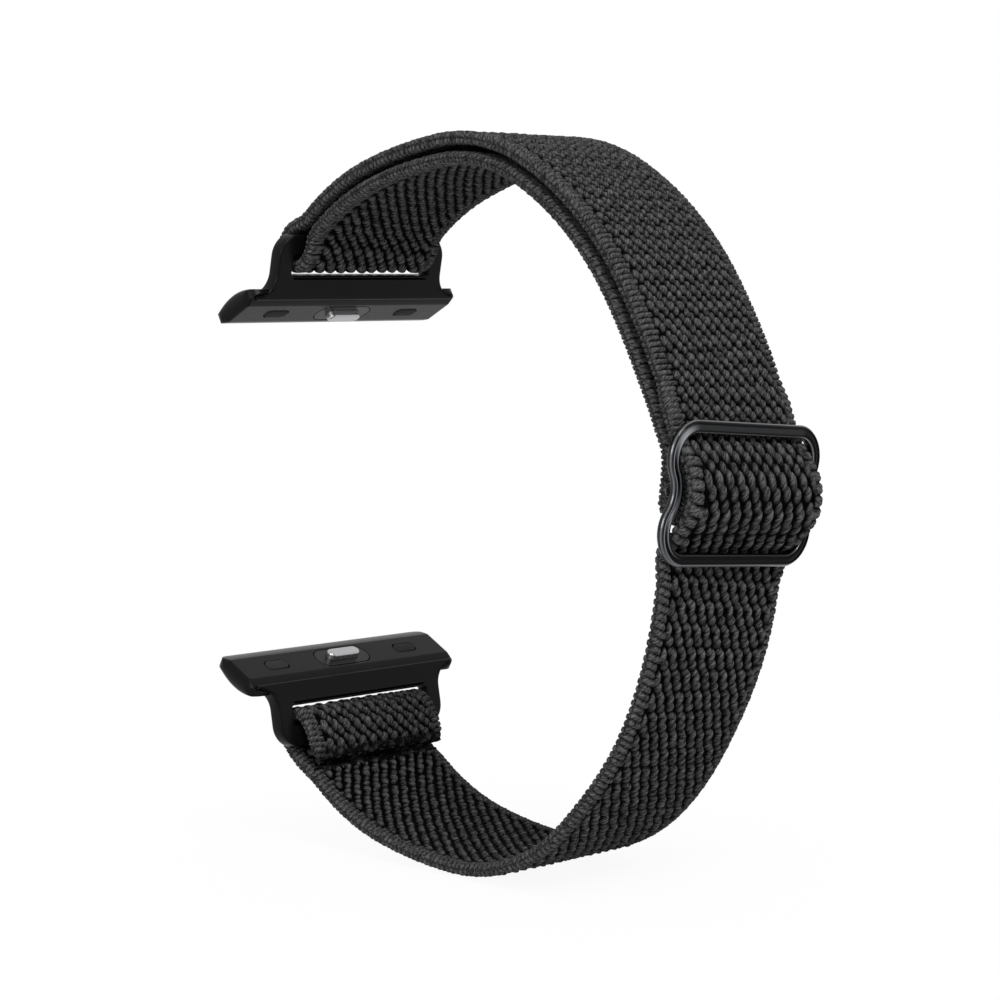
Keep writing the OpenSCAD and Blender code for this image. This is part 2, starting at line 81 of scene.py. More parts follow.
# Slider
SLIDER_H, SLIDER_X, SLIDER_Z, SLIDER_LEAN = 14.0, 28.8, 2.55, 5.5
WIRE_W, WAIST_IN, WAIST_CLEAR = 1.3, 1.05, 0.35
BAR_D, BAR_SINK, BULGE_R, BULGE_OUT, LOOP_DROP, END_TURN = 1.3, 1.05, 4.7, 0.15, 1.2, 52.0
SLIDER_W = THREAD_W + 2 * (WAIST_CLEAR + WIRE_W + WAIST_IN)
SLIDER_BAR = (SLIDER_H - WIRE_W) / 2
WRAP_R = WIRE_W / 2 + LIE_CLEAR + WEB_T / 2
LOOP_R = BAR_D / 2 + LIE_CLEAR + WEB_T / 2
BULGE_N = LOOP_R + WEB_T + LIE_CLEAR - BAR_SINK - BULGE_R + BULGE_OUT
BULGE_TURN = math.degrees(
    math.asin((BULGE_R + WRAP_R) / math.hypot(BULGE_N, SLIDER_BAR)) - math.atan2(-BULGE_N, SLIDER_BAR)
)
UPPER_EXIT, LOWER_EXIT = UPPER_LEAN + SLIDER_LEAN, LOWER_LEAN - SLIDER_LEAN

# Weave: 31 cords across the body of the webbing, each with one float to every three picks. A cord's number
# modulo three is its kind, and the arrays hold one value for each kind. The LOWER ones hold below the slider
CORDS, BODY_HALF, EDGE_HALF = 31, 7.3, 8.25
CORD_PITCH, FIRST_CORD = BODY_HALF / 15, 1.1
ROUND_R = WEB_T / 2
CORD_WIDTHS, CORD_LENGTHS = np.array([1.3, 0.92, 0.84]), np.array([1.0, 1.0, 0.92])
LOWER_WIDTHS, LOWER_LENGTHS = np.array([0.82, 1.08, 1.02]), np.array([1.4, 0.82, 0.66])
LOWER_PROUD, FAR_BODY = np.array([0.35, 0, 0]), 0.45
CORD_SLANTS, GROOVE, GROOVE_W, GROOVE_FROM = np.array([-0.6, 1.0, 1.4]), 0.4, 0.12, 0.3
TAPER, SLANT_REACH = 0.3, 1.2
PRESSED_L, PRESSED_R, PRESSED_IN, PRESSED_DARK = 1.6, 0.5, 0.28, 0.5
FLOAT_PICKS, BACK_HALF_L, FLOAT_TOP, KIND_TOP = 3, 0.48, 0.92, np.array([1.06, 0.99, 0.92])
RELIEF, HIGHEST, PLAIN_HEIGHT, JITTERS = 0.42, 1.2, 0.8, 97
BODY_OVER, EDGE_OVER = 0.1, 0.4

# Selvedges: half a cord's width in picks, the split along it, how much further its long and short cords
# reach, the rim, and how high the cords are, which sways a little from cord to cord
EDGE_CORD, SPLIT, SPLIT_W, EDGE_LONG, EDGE_SHORT, RIM_FLOOR, RIM_W = 0.46, 0.16, 0.07, 0.3, -0.08, 0.6, 0.6
EDGE_END, EDGE_TOP, EDGE_SWAY, EDGE_WAVE = 0.03, 0.93, 0.05, 2.4

# Sewing: how many threads lie in the tangle over the tail's end and how thick they are, how far to each side
# and from the step their middles lie, half their length, and their turn. Then the stitches on the step
TANGLE, TANGLE_R, TANGLE_SIDE, TANGLE_FROM, TANGLE_TO = 560, 0.075, 8.2, -0.7, 0.75
TANGLE_SHORT, TANGLE_LONG, TANGLE_TURN, TANGLE_LIFT = 0.25, 0.5, 0.8, 0.1
STEP_STITCHES, STEP_PITCH, STEP_L, STEP_AT, STEP_LIFT, STITCH_R = 16, 1.15, 1.0, 0.62, 0.16, 0.11
THREAD_SUNK, RUN_SUNK, STEP_HALF, SEAM_STITCHES, END_STITCHES, END_BACK = 0.1, 0.12, 0.25, 9, 8, 0.3
STITCH_RISE, TANGLE_SIDES, STITCH_SIDES = 0.6, 6, 8

# The mesh of the webbing: steps along it, across it, and across a back that is left plain
ROW_STEP, COLUMN_STEP, PLAIN_STEP = 0.15, 0.11, 0.5

# The slider hangs a little askew, its +Y end lower, and the webbing beside it goes along
SKEW, SKEW_ABOVE, SKEW_BELOW = 0.075, 8.0, 18.0

# Adapters, each seen from its bar with the arms along Z
ADAPTER_W, SLOT_W, ARM_T, CORNER_R, WINDOW_R, PLATE_EDGE = 24.0, 20.0, 1.5, 2.4, 0.35, 0.2
ADAPTER_TOP, BAR_LOW, SLOT_Z, NECK_Z, NECK_ROOT, NECK_FILLET_R = 1.15, -1.05, -3.23, -4.89, 1.0, 1.6
FLARE_R, FLARE_FOOT, RECESS_H, RECESS_DEPTH, RECESS_SHORT, RECESS_BLUR = 2.4, 0.4, 0.385, 0.35, 0.4, 0.12
LUG_L, LUG_C, LUG_T, LUG_ANGLE, LUG_PLAN_R, LUG_END, TIP_BLUNT = 30.4, 7.6, 2.4, 51.0, 1.7, 0.55, 0.25
LUG_MID, SEAT_D, POCKET_Z, SEAT_BLUR, LUG_END_T = (-2.20315, -7.08142), 0.95, -0.57, 0.1, 0.12
COVER_L, COVER_W, COVER_T = 7.4, 2.8, 0.3
BUTTON_L, BUTTON_W, BUTTON_OUT, BUTTON_LOW = 4.4, 1.3, 0.75, 0.25
PAD_L, PAD_W, PAD_Y, PAD_DEEP, PAD_OUT = 3.0, 1.4, 9.5, 0.5, 0.15
BUTTON_EDGE, BUTTON_GAP, PAD_GAP, PAD_EDGE, PAD_DOME = 0.22, 0.35, 0.05, 0.12, 0.06
ADAPTER_LEAN, FILLET_IN, SILL_SHORT, LUG_STEP = 10.6, 0.3, 0.2, 0.11
BARS = {"upper": (-24.6001, 26.3342), "lower": (-24.6595, 26.3427)}


def leg_length(radius, turn):
    """Length of a leg: its radius where it is straight, and otherwise radius times turn."""
    return radius if turn == 0 else radius * math.radians(turn)


def sweep(a0, a1, count):
    """A number of angles evenly from a0 to a1 degrees, in radians."""
    return np.radians(np.linspace(a0, a1, count))


def whole_length(legs):
    """Length of a path of legs."""
    return sum(leg_length(*leg) for leg in legs)


def leant(x, z, degrees):
    """Points x, z turned from Z towards X."""
    lean = math.radians(degrees)
    return x * math.cos(lean) + z * math.sin(lean), z * math.cos(lean) - x * math.sin(lean)


def off_slider(n, t):
    """Slider's plane to the loop's: n points out of the loop and t up along the slider."""
    x, z = leant(n, t, SLIDER_LEAN)
    return SLIDER_X + x, SLIDER_Z + z


def start_of_half(exit_deg, sign, lean):
    """Start of the middle line between the layers, where the webbing leaves an end bar of the slider."""
    r = WRAP_R + HALF_LAY
    e = math.radians(exit_deg)
    x, z = off_slider(-r * math.cos(e), sign * (SLIDER_BAR - r * math.sin(e)))
    return x, sign * z, math.radians(lean)


UPPER_START = start_of_half(UPPER_EXIT, 1, UPPER_LEAN)
LOWER_START = start_of_half(LOWER_EXIT, -1, LOWER_LEAN)
UPPER_L, LOWER_L = whole_length(UPPER_LEGS), whole_length(LOWER_LEGS)


def along(start, legs, s):
    """Points x, z and headings at lengths s of a path of straight legs and arcs, each tangent to the last.
    An arc's point is its start plus its radius times the change of the heading's cosine and sine."""
    x0, z0, h0 = start
    x, z, h = (np.zeros_like(s) for _ in range(3))
    begin = 0.0
    for i, (radius, turn) in enumerate(legs):
        length = leg_length(radius, turn)
        here = s >= begin if i else np.ones(s.shape, bool)
        d = s - begin
        if turn == 0:
            leg_h = h0 + 0 * d
            leg_x, leg_z = x0 - d * np.sin(h0), z0 + d * np.cos(h0)
            x0, z0 = x0 - length * math.sin(h0), z0 + length * math.cos(h0)
        else:
            leg_h = h0 + d / radius
            leg_x = x0 + radius * (np.cos(leg_h) - math.cos(h0))
            leg_z = z0 + radius * (np.sin(leg_h) - math.sin(h0))
            h1 = h0 + math.radians(turn)
            x0 += radius * (math.cos(h1) - math.cos(h0))
            z0 += radius * (math.sin(h1) - math.sin(h0))
            h0 = h1
        x, z, h = np.where(here, leg_x, x), np.where(here, leg_z, z), np.where(here, leg_h, h)
        begin += length
    return x, z, h


def ease(u):
    """Smooth step: 3u squared minus 2u cubed, held at 0 and 1 outside."""
    v = np.clip(u, 0, 1)
    return v * v * (3 - 2 * v)


def spread(s, length, lay, over):
    """A layer's distance from the middle line: its lay, which eases to the fold's radius near the bar."""
    return lay + (FOLD_R - lay) * ease((s - length + FOLD_SLACK + over) / over)


DENSE, SMOOTHED, SMALLEST = 0.05, 23, 1e-6


def layer_line(start, legs, s0, s1, side, lay, flip):
    """One layer between two lengths of the middle line, pushed aside by its spread; flip mirrors it in Z."""
    s = np.linspace(s0, s1, max(2, int(abs(s1 - s0) / DENSE)))
    x, z, h = along(start, legs, s)
    d = side * spread(s, whole_length(legs), lay, UPPER_SPREAD_L if flip > 0 else SPREAD_L)
    return x + d * np.cos(h), (z + d * np.sin(h)) * flip


def fold_line(start, legs, a0, a1, flip):
    """Half turn about the eye at the end of a path, with angles from the heading there."""
    x, z, h = along(start, legs, np.array([whole_length(legs)]))
    a = h[0] + sweep(a0, a1, 160)
    return x[0] + FOLD_R * np.cos(a), (z[0] + FOLD_R * np.sin(a)) * flip


def slider_arc(n, t, radius, a0, a1):
    """Arc in the slider's plane about n, t, with angles from n towards t."""
    a = sweep(a0, a1, 120)
    return off_slider(n + radius * np.cos(a), t + radius * np.sin(a))


def drop_line():
    """Cubic curve from the inner layer's exit down behind the slider to the centre bar's loop."""
    r = WRAP_R + 2 * HALF_LAY
    e = math.radians(UPPER_EXIT)
    top = np.array([-r * math.cos(e), SLIDER_BAR - r * math.sin(e)])
    foot = np.array([-BAR_SINK - LOOP_R, -LOOP_DROP])
    reach = (top[1] + LOOP_DROP) / 3
    d0, d1 = reach * np.array([math.sin(e), -math.cos(e)]), np.array([0.0, -reach])
    u = np.linspace(0, 1, 160)[:, None]
    v = 1 - u
    p = v ** 3 * top + 3 * v ** 2 * u * (top + d0) + 3 * v * u * u * (foot - d1) + u ** 3 * foot
    return off_slider(p[:, 0], p[:, 1])


def band_line():
    """The whole webbing's middle surface as one line, from the sewn tail to the end under the bulge.
    Gives x, z and the length S at even steps, smoothed over 1 mm, and the S at which each section starts."""
    upper, lower = (UPPER_START, UPPER_LEGS), (LOWER_START, LOWER_LEGS)
    sections = (
        ("tail", layer_line(*lower, LOWER_L - TAIL_L, LOWER_L, -1, TAIL_LAY, -1)),
        ("lower_fold", fold_line(*lower, 180, 0, -1)),
        ("lower_run", layer_line(*lower, LOWER_L, STRETCH_L, 1, HALF_LAY, -1)),
        ("lower_stretch", layer_line(*lower, STRETCH_L, 0, 1, HALF_LAY, -1)),
        ("pass_low", slider_arc(0, -SLIDER_BAR, WRAP_R, 180 - LOWER_EXIT, 180 - BULGE_TURN)),
        ("bulge", slider_arc(BULGE_N, 0, BULGE_R, -BULGE_TURN, BULGE_TURN)),
        ("pass_high", slider_arc(0, SLIDER_BAR, WRAP_R, 180 + BULGE_TURN, 180 + UPPER_EXIT)),
        ("outer_stretch", layer_line(*upper, 0, STRETCH_L, 1, HALF_LAY, 1)),
        ("outer_run", layer_line(*upper, STRETCH_L, UPPER_L, 1, HALF_LAY, 1)),
        ("upper_fold", fold_line(*upper, 0, 180, 1)),
        ("inner_run", layer_line(*upper, UPPER_L, STRETCH_L, -1, HALF_LAY, 1)),
        ("inner_stretch", layer_line(*upper, STRETCH_L, 0, -1, HALF_LAY, 1)),
        ("drop", drop_line()),
        ("loop", slider_arc(-BAR_SINK, -LOOP_DROP, LOOP_R, 180, 360)),
        ("end", slider_arc(BULGE_N - BULGE_OUT, 0, BULGE_R - WEB_T - LIE_CLEAR, 0, END_TURN)),
    )
    x = np.concatenate([line[0] for _, line in sections])
    z = np.concatenate([line[1] for _, line in sections])
    s = np.concatenate([[0], np.cumsum(np.hypot(np.diff(x), np.diff(z)))])
    starts, count = {}, 0
    for name, line in sections:
        starts[name] = s[count]
        count += len(line[0])
    even = np.arange(0, s[-1], DENSE)
    keep = np.concatenate([[True], np.diff(s) > SMALLEST])
    x, z = np.interp(even, s[keep], x[keep]), np.interp(even, s[keep], z[keep])
    window = np.hanning(SMOOTHED)[1:-1]
    window /= window.sum()
    half = len(window) // 2
    smooth = [np.convolve(np.pad(v, half, "reflect", reflect_type="odd"), window, "valid") for v in (x, z)]
    starts["stop"] = even[-1]
    zero = (starts["bulge"] + starts["pass_high"]) / 2
    return smooth[0], smooth[1], even - zero, {name: value - zero for name, value in starts.items()}


LINE_X, LINE_Z, LINE_S, START = band_line()
START["lower_middle"] = (START["lower_run"] + START["lower_stretch"]) / 2
SLOPE_X, SLOPE_Z = np.gradient(LINE_X, LINE_S), np.gradient(LINE_Z, LINE_S)

# Along the band: where the weave changes, and what it is there. Picks are counted from the bulge's middle
ZONE_S = (START["tail"], START["lower_run"], START["lower_stretch"] - STRETCH_L, START["lower_stretch"],
          START["pass_low"], -6.5, -4.0, 0.0, 4.0, START["outer_stretch"], START["upper_fold"],
          START["inner_run"] + 6, START["stop"])
ZONES = {
    "pick": (0.62, 0.62, 0.65, 0.735, 0.8, 1.19, 1.16, 1.16, 1.0, 0.613, 0.55, 0.51, 0.55),
    "tilt": (0, 0.2, 0.2, 0.1, 0.08, 0, 0, 0, 0, 0, 0, 0.1, 0.1),
    "half_l": (0.62, 0.6, 0.62, 0.68, 0.72, 0.88, 0.88, 0.86, 0.8, 0.56, 0.5, 0.45, 0.45),
    "half_w": (0.45, 0.44, 0.44, 0.44, 0.44, 0.44, 0.44, 0.44, 0.44, 0.44, 0.44, 0.4, 0.4),
    "slant": (-22, 10, 12, 12, 10, 6, 4, 6, 10, 14, 14, 20, 20),
    "aside": (0, 0.1, 0.25, 0.32, 0.32, 0.3, 0.3, 0.25, 0.15, -0.2, -0.2, -0.2, -0.2),
    "proud": (0.15, 0.3, 0.35, 0.38, 0.42, 0.35, 0.3, 0.25, 0.2, 0.1, 0.1, 0.2, 0.2),
    "lower": (0.3, 0.6, 1, 1, 1, 0.8, 0.7, 0.5, 0.3, 0, 0, 0, 0),
    "fan": (-0.3, -0.4, -0.4, -0.4, -0.38, -0.2, -0.15, -0.1, -0.05, 0.05, 0.05, 0.1, 0.1),
}
LINE_PICK = np.cumsum(DENSE / np.interp(LINE_S, ZONE_S, ZONES["pick"]))
LINE_PICK -= np.interp(0, LINE_S, LINE_PICK)

# Round the adapters' bars: their places, how far the weave is pressed there, and by how much on back and face
BAR_S = ((START["lower_fold"] + START["lower_run"]) / 2, (START["upper_fold"] + START["inner_run"]) / 2)
BAR_NEAR, BAR_EASE, BACK_FLAT, FACE_FLAT = 7.0, 2.0, 0.4, 0.17


def on_band(s, y, lift):
    """Points at lengths s and places y, lifted off the webbing's middle surface along its normal."""
    x, z = np.interp(s, LINE_S, LINE_X), np.interp(s, LINE_S, LINE_Z)
    tx, tz = np.interp(s, LINE_S, SLOPE_X), np.interp(s, LINE_S, SLOPE_Z)
    size = np.hypot(tx, tz)
    return np.stack([x + lift * tz / size, y, z - lift * tx / size], -1)


def zone_at(s, key):
    """What the weave is at lengths s."""
    return np.interp(s, ZONE_S, ZONES[key])


def width_at(s):
    """Width of the webbing: wider round the adapters' bars and in the slider, narrower at its end loop. Each
    change is a smooth step up, times a smooth step down."""
    def bump(s0, s1, over=WIDTH_EASE):
        return ease((s - s0 + over) / over) * ease((s1 + over - s) / over)

    lower = bump(START["tail"], START["lower_stretch"] - FOLD_WIDE, FOLD_WIDE)
    upper = bump(START["upper_fold"] - FOLD_WIDE, START["inner_run"] + FOLD_WIDE, FOLD_WIDE)
    end = bump(START["drop"] + END_NARROW, START["stop"] + WIDTH_EASE)
    return (WEB_W + (FOLD_W - WEB_W) * (lower + upper) + (THREAD_W - WEB_W) * end
            + (PASS_W - WEB_W) * bump(PASS_FROM, PASS_TO) + (BULGE_W - PASS_W) * bump(BULGE_FROM, BULGE_TO))


def skew_at(s):
    """How far the slider's skew carries into the webbing: fully inside it, easing out above and below."""
    above = ease((START["outer_stretch"] + SKEW_ABOVE - s) / SKEW_ABOVE)
    below = ease((s - START["pass_low"] + SKEW_BELOW) / SKEW_BELOW)
    inner = ease((s - START["drop"] + SKEW_ABOVE) / SKEW_ABOVE)
    return SKEW * np.maximum(above * below, inner)


def jitter(seed, spread_by):
    """A table of small random offsets, one for each float of each cord."""
    return np.random.default_rng(seed).normal(0, spread_by, (CORDS, JITTERS))


JITTER_Y, JITTER_S, JITTER_H = jitter(3, 0.025), jitter(5, 0.06), jitter(7, 0.05)


def body_half(y, s):
    """Half width of the twill, on the side that y is on. The +Y selvedge is narrow where "lower" is 1."""
    aside = zone_at(s, "aside")
    return BODY_HALF + np.where(y > 0, np.maximum(-aside, 0) + FAR_BODY * zone_at(s, "lower"), aside)


def body_height(y, s, face):
    """Height of the twill, from 0 to HIGHEST. Each float is a slanted half ellipsoid on its cord, three picks
    from the next, and one pick down from the float of the cord before it. It is higher towards greater s, and
    where "lower" is 1 also narrower. The highest float at a point wins, with a groove where two are nearly as
    high. The back's floats are shorter."""
    zone = {key: zone_at(s, key) for key in ZONES}
    pick = np.interp(s, LINE_S, LINE_PICK) + zone["tilt"] * y / zone["pick"]
    shift = 0.5 * FLOAT_PICKS * (face < 0)
    half_l = np.where(face < 0, BACK_HALF_L, zone["half_l"])
    place = y + zone["aside"] + BODY_HALF
    nearest = np.round(place / CORD_PITCH - FIRST_CORD)
    best = np.zeros(np.broadcast(y, s).shape)
    second = best
    for beside in (-2, -1, 0, 1, 2):
        cord = nearest + beside
        there = (cord >= 0) & (cord < CORDS)
        cord = np.where(there, cord, 0).astype(int)
        lowest = np.floor((pick + cord + shift) / FLOAT_PICKS)
        kind = cord % 3
        wide = CORD_WIDTHS[kind] + zone["lower"] * (LOWER_WIDTHS - CORD_WIDTHS)[kind]
        long = CORD_LENGTHS[kind] + zone["lower"] * (LOWER_LENGTHS - CORD_LENGTHS)[kind]
        proud = zone["proud"] + zone["lower"] * LOWER_PROUD[kind]
        slant = np.radians(zone["slant"] * CORD_SLANTS[kind])
        for step in (0, 1):
            turn = (lowest + step).astype(int)
            at = (cord, turn % JITTERS)
            dy = place - (cord + FIRST_CORD) * CORD_PITCH - JITTER_Y[at]
            ds = (pick - FLOAT_PICKS * turn + cord + shift) * zone["pick"] - JITTER_S[at]
            u = (ds * np.cos(slant) + dy * np.sin(slant)) / (half_l * long)
            v = (dy * np.cos(slant) - ds * np.sin(slant)) / (zone["half_w"] * wide)
            v = v * (1 + TAPER * zone["lower"] * u)
            # A float's proud end stands higher, and the painted height shade also makes its colour lighter
            # there, a painted highlight
            one = np.sqrt(np.clip(1 - u ** 2 - v ** 2, 0, 1)) * (FLOAT_TOP + JITTER_H[at] + proud * u)
            one = one * KIND_TOP[kind] * there
            second = np.maximum(second, np.where(one > best, best, one))
            best = np.maximum(best, one)
    # The groove lowers the surface, and through the painted height shade it also darkens the colour, a
    # painted dark outline round each float
    groove = GROOVE * np.exp(-((best - second) / GROOVE_W) ** 2) * ease(second / GROOVE_FROM)
    return np.clip(best - groove, 0, HIGHEST)


def edge_height(y, q, s, face):
    """Height from 0 to 1 of a selvedge half. Flat-topped cords lie one to a pick, slanting away from the rim
    at mid-thickness, where q is 0. Every third one reaches in over the body, and both halves' cords
    interlock. At the rim the gaps between them are shallower, by a bell curve of q."""
    reach = ROUND_R * math.pi / 2 + EDGE_HALF - body_half(y, s)
    pick = np.interp(s, LINE_S, LINE_PICK)
    slanted = zone_at(s, "fan") * np.minimum(reach - q, SLANT_REACH)
    phase = pick + 0.5 + slanted + 0.5 * (face < 0)
    number = np.round(phase)
    off = phase - number
    reach = reach + np.where((number + (s < 0)) % FLOAT_PICKS == 2, EDGE_LONG, EDGE_SHORT)
    ridge = np.sqrt(np.clip(1 - (np.abs(off) / EDGE_CORD) ** 3, 0, 1)) - SPLIT * np.exp(-(off / SPLIT_W) ** 2)
    ridge = np.maximum(ridge, RIM_FLOOR * np.exp(-(q / RIM_W) ** 2))
    ends = np.clip(1 - np.abs((q - reach / 2) / (reach / 2 + EDGE_END)) ** 6, 0, 1)
    return ridge * np.sqrt(ends) * (EDGE_TOP + EDGE_SWAY * np.sin(EDGE_WAVE * number))


def section(back_step):
    """Columns once round the webbing's section: lateral place, turn of the outward normal, and distance from
    the rim. Those of the back are a back_step apart."""
    def flat(y0, y1, gap):
        return np.linspace(y0, y1, max(2, int(round(abs(y1 - y0) / gap)) + 1))

    round_n = int(math.pi * ROUND_R / COLUMN_STEP) + 1
    turn = np.linspace(0, math.pi, round_n)
    face = flat(-EDGE_HALF, EDGE_HALF, COLUMN_STEP)
    back = flat(EDGE_HALF, -EDGE_HALF, back_step)
    rim = np.full(round_n - 1, EDGE_HALF)
    y = np.concatenate([face[:-1], rim, back[:-1], -rim])
    a = np.concatenate([0 * face[:-1], turn[:-1], 0 * back[:-1] + math.pi, math.pi + turn[:-1]])
    rounded = ROUND_R * np.abs(np.abs(math.pi - a) - math.pi / 2)
    return y, a, np.where(np.abs(y) < EDGE_HALF, ROUND_R * math.pi / 2 + EDGE_HALF - np.abs(y), rounded)


def webbing_grid(s, columns, plain_back):
    """Points, heights and yarn coordinates of the webbing at lengths s. The section is a strip with round
    edges; each point moves out along the section's normal by the weave's height. Round an adapter's bar the
    weave is pressed flatter, which leaves the adapter room to turn."""
    y, a, q = (v[None, :] for v in columns)
    s = s[:, None]
    face = np.where(np.cos(a) >= -SMALLEST, 1, -1)
    body = body_half(y, s)
    in_body = np.abs(y) < body + BODY_OVER
    height = np.maximum(np.where(in_body, body_height(y, s, face), 0),
                        np.where(np.abs(y) > body - EDGE_OVER, edge_height(y, q, s, face), 0))
    by_bar = ease((BAR_NEAR - np.min([np.abs(s - bar) for bar in BAR_S], 0)) / BAR_EASE)
    height = np.minimum(height, HIGHEST - np.where(face < 0, BACK_FLAT, FACE_FLAT) * by_bar)
    if plain_back:
        height = np.where((face < 0) & in_body, PLAIN_HEIGHT, height)
    pressed = 1 - ease((s - START["tail"]) / PRESSED_L)
    r = (ROUND_R - RELIEF * (1 - height)) * (1 - PRESSED_R * pressed)
    # Lowering the height that the colour reads darkens the tail's pressed end, painted shade
    height = height * (1 - PRESSED_DARK * pressed)
    side = y * width_at(s) / WEB_W + r * np.sin(a)
    points = on_band(s, side, r * np.cos(a) - PRESSED_IN * pressed)
    points[..., 2] -= skew_at(s) * side
    edge = np.abs(y) > body
    uv = np.stack([np.where(edge, s, y + 0 * s), np.where(edge, q + 0 * s, s + 0 * y)], -1)
    return points, height, uv


def grid_normals(points):
    """Unit normals of a grid closed across its columns: the cross product of its two central differences."""
    down = np.gradient(points, axis=0)
    across = np.roll(points, -1, 1) - np.roll(points, 1, 1)
    n = np.cross(across, down)
    return n / np.maximum(np.linalg.norm(n, axis=-1, keepdims=True), 1e-12)


def mesh_object(name, points, quads, caps=(), normals=None, uv=None, attributes=()):
    """Mesh from arrays of points in millimetres, quads and end polygons, put in with foreach_set."""
    mesh = bpy.data.meshes.new(name)
    mesh.vertices.add(len(points))
    mesh.vertices.foreach_set("co", (points * MM).astype(np.float32).ravel())
    corners = np.concatenate([quads.ravel()] + [np.asarray(cap) for cap in caps]).astype(np.int32)
    sizes = np.concatenate([np.full(len(quads), 4)] + [[len(cap)] for cap in caps]).astype(np.int32)
    mesh.loops.add(len(corners))
    mesh.loops.foreach_set("vertex_index", corners)
    mesh.polygons.add(len(sizes))
    mesh.polygons.foreach_set("loop_start", np.concatenate([[0], np.cumsum(sizes)[:-1]]).astype(np.int32))
    mesh.polygons.foreach_set("use_smooth", np.ones(len(sizes), bool))
    mesh.update(calc_edges=True)
    if uv is not None:
        layer = mesh.uv_layers.new(name="yarn")
        layer.data.foreach_set("uv", uv[corners].astype(np.float32).ravel())
    for key, values in attributes:
        mesh.attributes.new(key, "FLOAT", "POINT").data.foreach_set("value", values.astype(np.float32))
    mesh.validate()
    if normals is not None:
        mesh.normals_split_custom_set_from_vertices(normals)
    piece = bpy.data.objects.new(name, mesh)
    bpy.context.scene.collection.objects.link(piece)
    return piece


def tube_quads(rows, columns):
    """Quads of a grid that is closed across its columns and open along its rows."""
    i = np.arange(rows - 1)[:, None] * columns
    c, d = np.arange(columns)[None, :], (np.arange(columns)[None, :] + 1) % columns
    return np.stack([i + c, i + d, i + columns + d, i + columns + c], -1).reshape(-1, 4)


def webbing(name, s0, s1, plain_back):
    """A length of webbing as a closed piece. Its normals come from a grid one row longer at each end, so that
    the pieces' ends match."""
    rows = int(math.ceil((s1 - s0) / ROW_STEP)) + 1
    s = np.linspace(s0, s1, rows)
    gap = s[1] - s[0]
    longer = np.concatenate([[s[0] - gap], s, [s[-1] + gap]])
    columns = section(PLAIN_STEP if plain_back else COLUMN_STEP)
    points, height, uv = webbing_grid(longer, columns, plain_back)
    normals = grid_normals(points)[1:-1]
    points, height, uv = points[1:-1], height[1:-1], uv[1:-1]
    count = points.shape[1]
    caps = (np.arange(count)[::-1], np.arange(count) + (rows - 1) * count)
    piece = mesh_object(name, points.reshape(-1, 3), tube_quads(rows, count), caps, normals.reshape(-1, 3),
                        uv.reshape(-1, 2), (("height", height.ravel()),))
    return piece


def socket_group(name, inputs, outputs):
    """An empty shader group with named inputs and outputs."""
    group = bpy.data.node_groups.new(name, "ShaderNodeTree")
    for kind, label, value in inputs:
        made = group.interface.new_socket(name=label, in_out="INPUT", socket_type=kind)
        if value is not None:
            made.default_value = value
    for kind, label in outputs:
        group.interface.new_socket(name=label, in_out="OUTPUT", socket_type=kind)
    return group, group.nodes.new("NodeGroupInput"), group.nodes.new("NodeGroupOutput")


def put(tree, socket, value):
    """Links a socket to another one, or sets its own value."""
    if isinstance(value, bpy.types.NodeSocket):
        tree.links.new(value, socket)
    else:
        socket.default_value = value


def fill(tree, node, **values):
    """A node with its inputs put in by name."""
    for key, value in values.items():
        put(tree, node.inputs[key.replace("_", " ")], value)
    return node


def math_node(tree, operation, a, b):
    """A Math node with its two inputs, each a socket or a number."""
    node = tree.nodes.new("ShaderNodeMath")
    node.operation = operation
    put(tree, node.inputs[0], a)
    put(tree, node.inputs[1], b)
    return node.outputs[0]


def mix_colour(tree, factor, a, b):
    """A colour mix, with each colour a socket or three numbers."""
    node = tree.nodes.new("ShaderNodeMix")
    node.data_type = "RGBA"
    for index, value in ((0, factor), (6, a), (7, b)):
        put(tree, node.inputs[index], (*value, 1) if isinstance(value, tuple) else value)
    return node.outputs[2]


def scaled(tree, value, factor, offset):
    """A value times a factor, plus an offset."""
    return math_node(tree, "ADD", math_node(tree, "MULTIPLY", value, factor), offset)


def from_between(tree, value, low, high, smooth=False):
    """A Map Range node that takes values between low and high to between 0 and 1."""
    node = tree.nodes.new("ShaderNodeMapRange")
    if smooth:
        node.interpolation_type = "SMOOTHSTEP"
    return fill(tree, node, Value=value, From_Min=low, From_Max=high)


def on_piece(tree):
    """The piece's own coordinates, in metres."""
    return tree.nodes.new("ShaderNodeTexCoord").outputs["Object"]


def at_points(tree, name):
    """A value that the mesh holds at its points."""
    node = tree.nodes.new("ShaderNodeAttribute")
    node.attribute_name = name
    return node.outputs["Fac"]


def bumped(tree, shader, height, distance, strength=1.0):
    """Bumps the shader's normal by a height, which is a distance in millimetres where it is 1."""
    bump = tree.nodes.new("ShaderNodeBump")
    fill(tree, bump, Distance=distance * MM, Strength=strength, Height=height)
    fill(tree, shader, Normal=bump.outputs[0])


def noise(tree, vector, scale, detail=2.0):
    """Noise texture's value at a vector."""
    node = tree.nodes.new("ShaderNodeTexNoise")
    return fill(tree, node, Scale=scale, Detail=detail, Vector=vector).outputs[0]


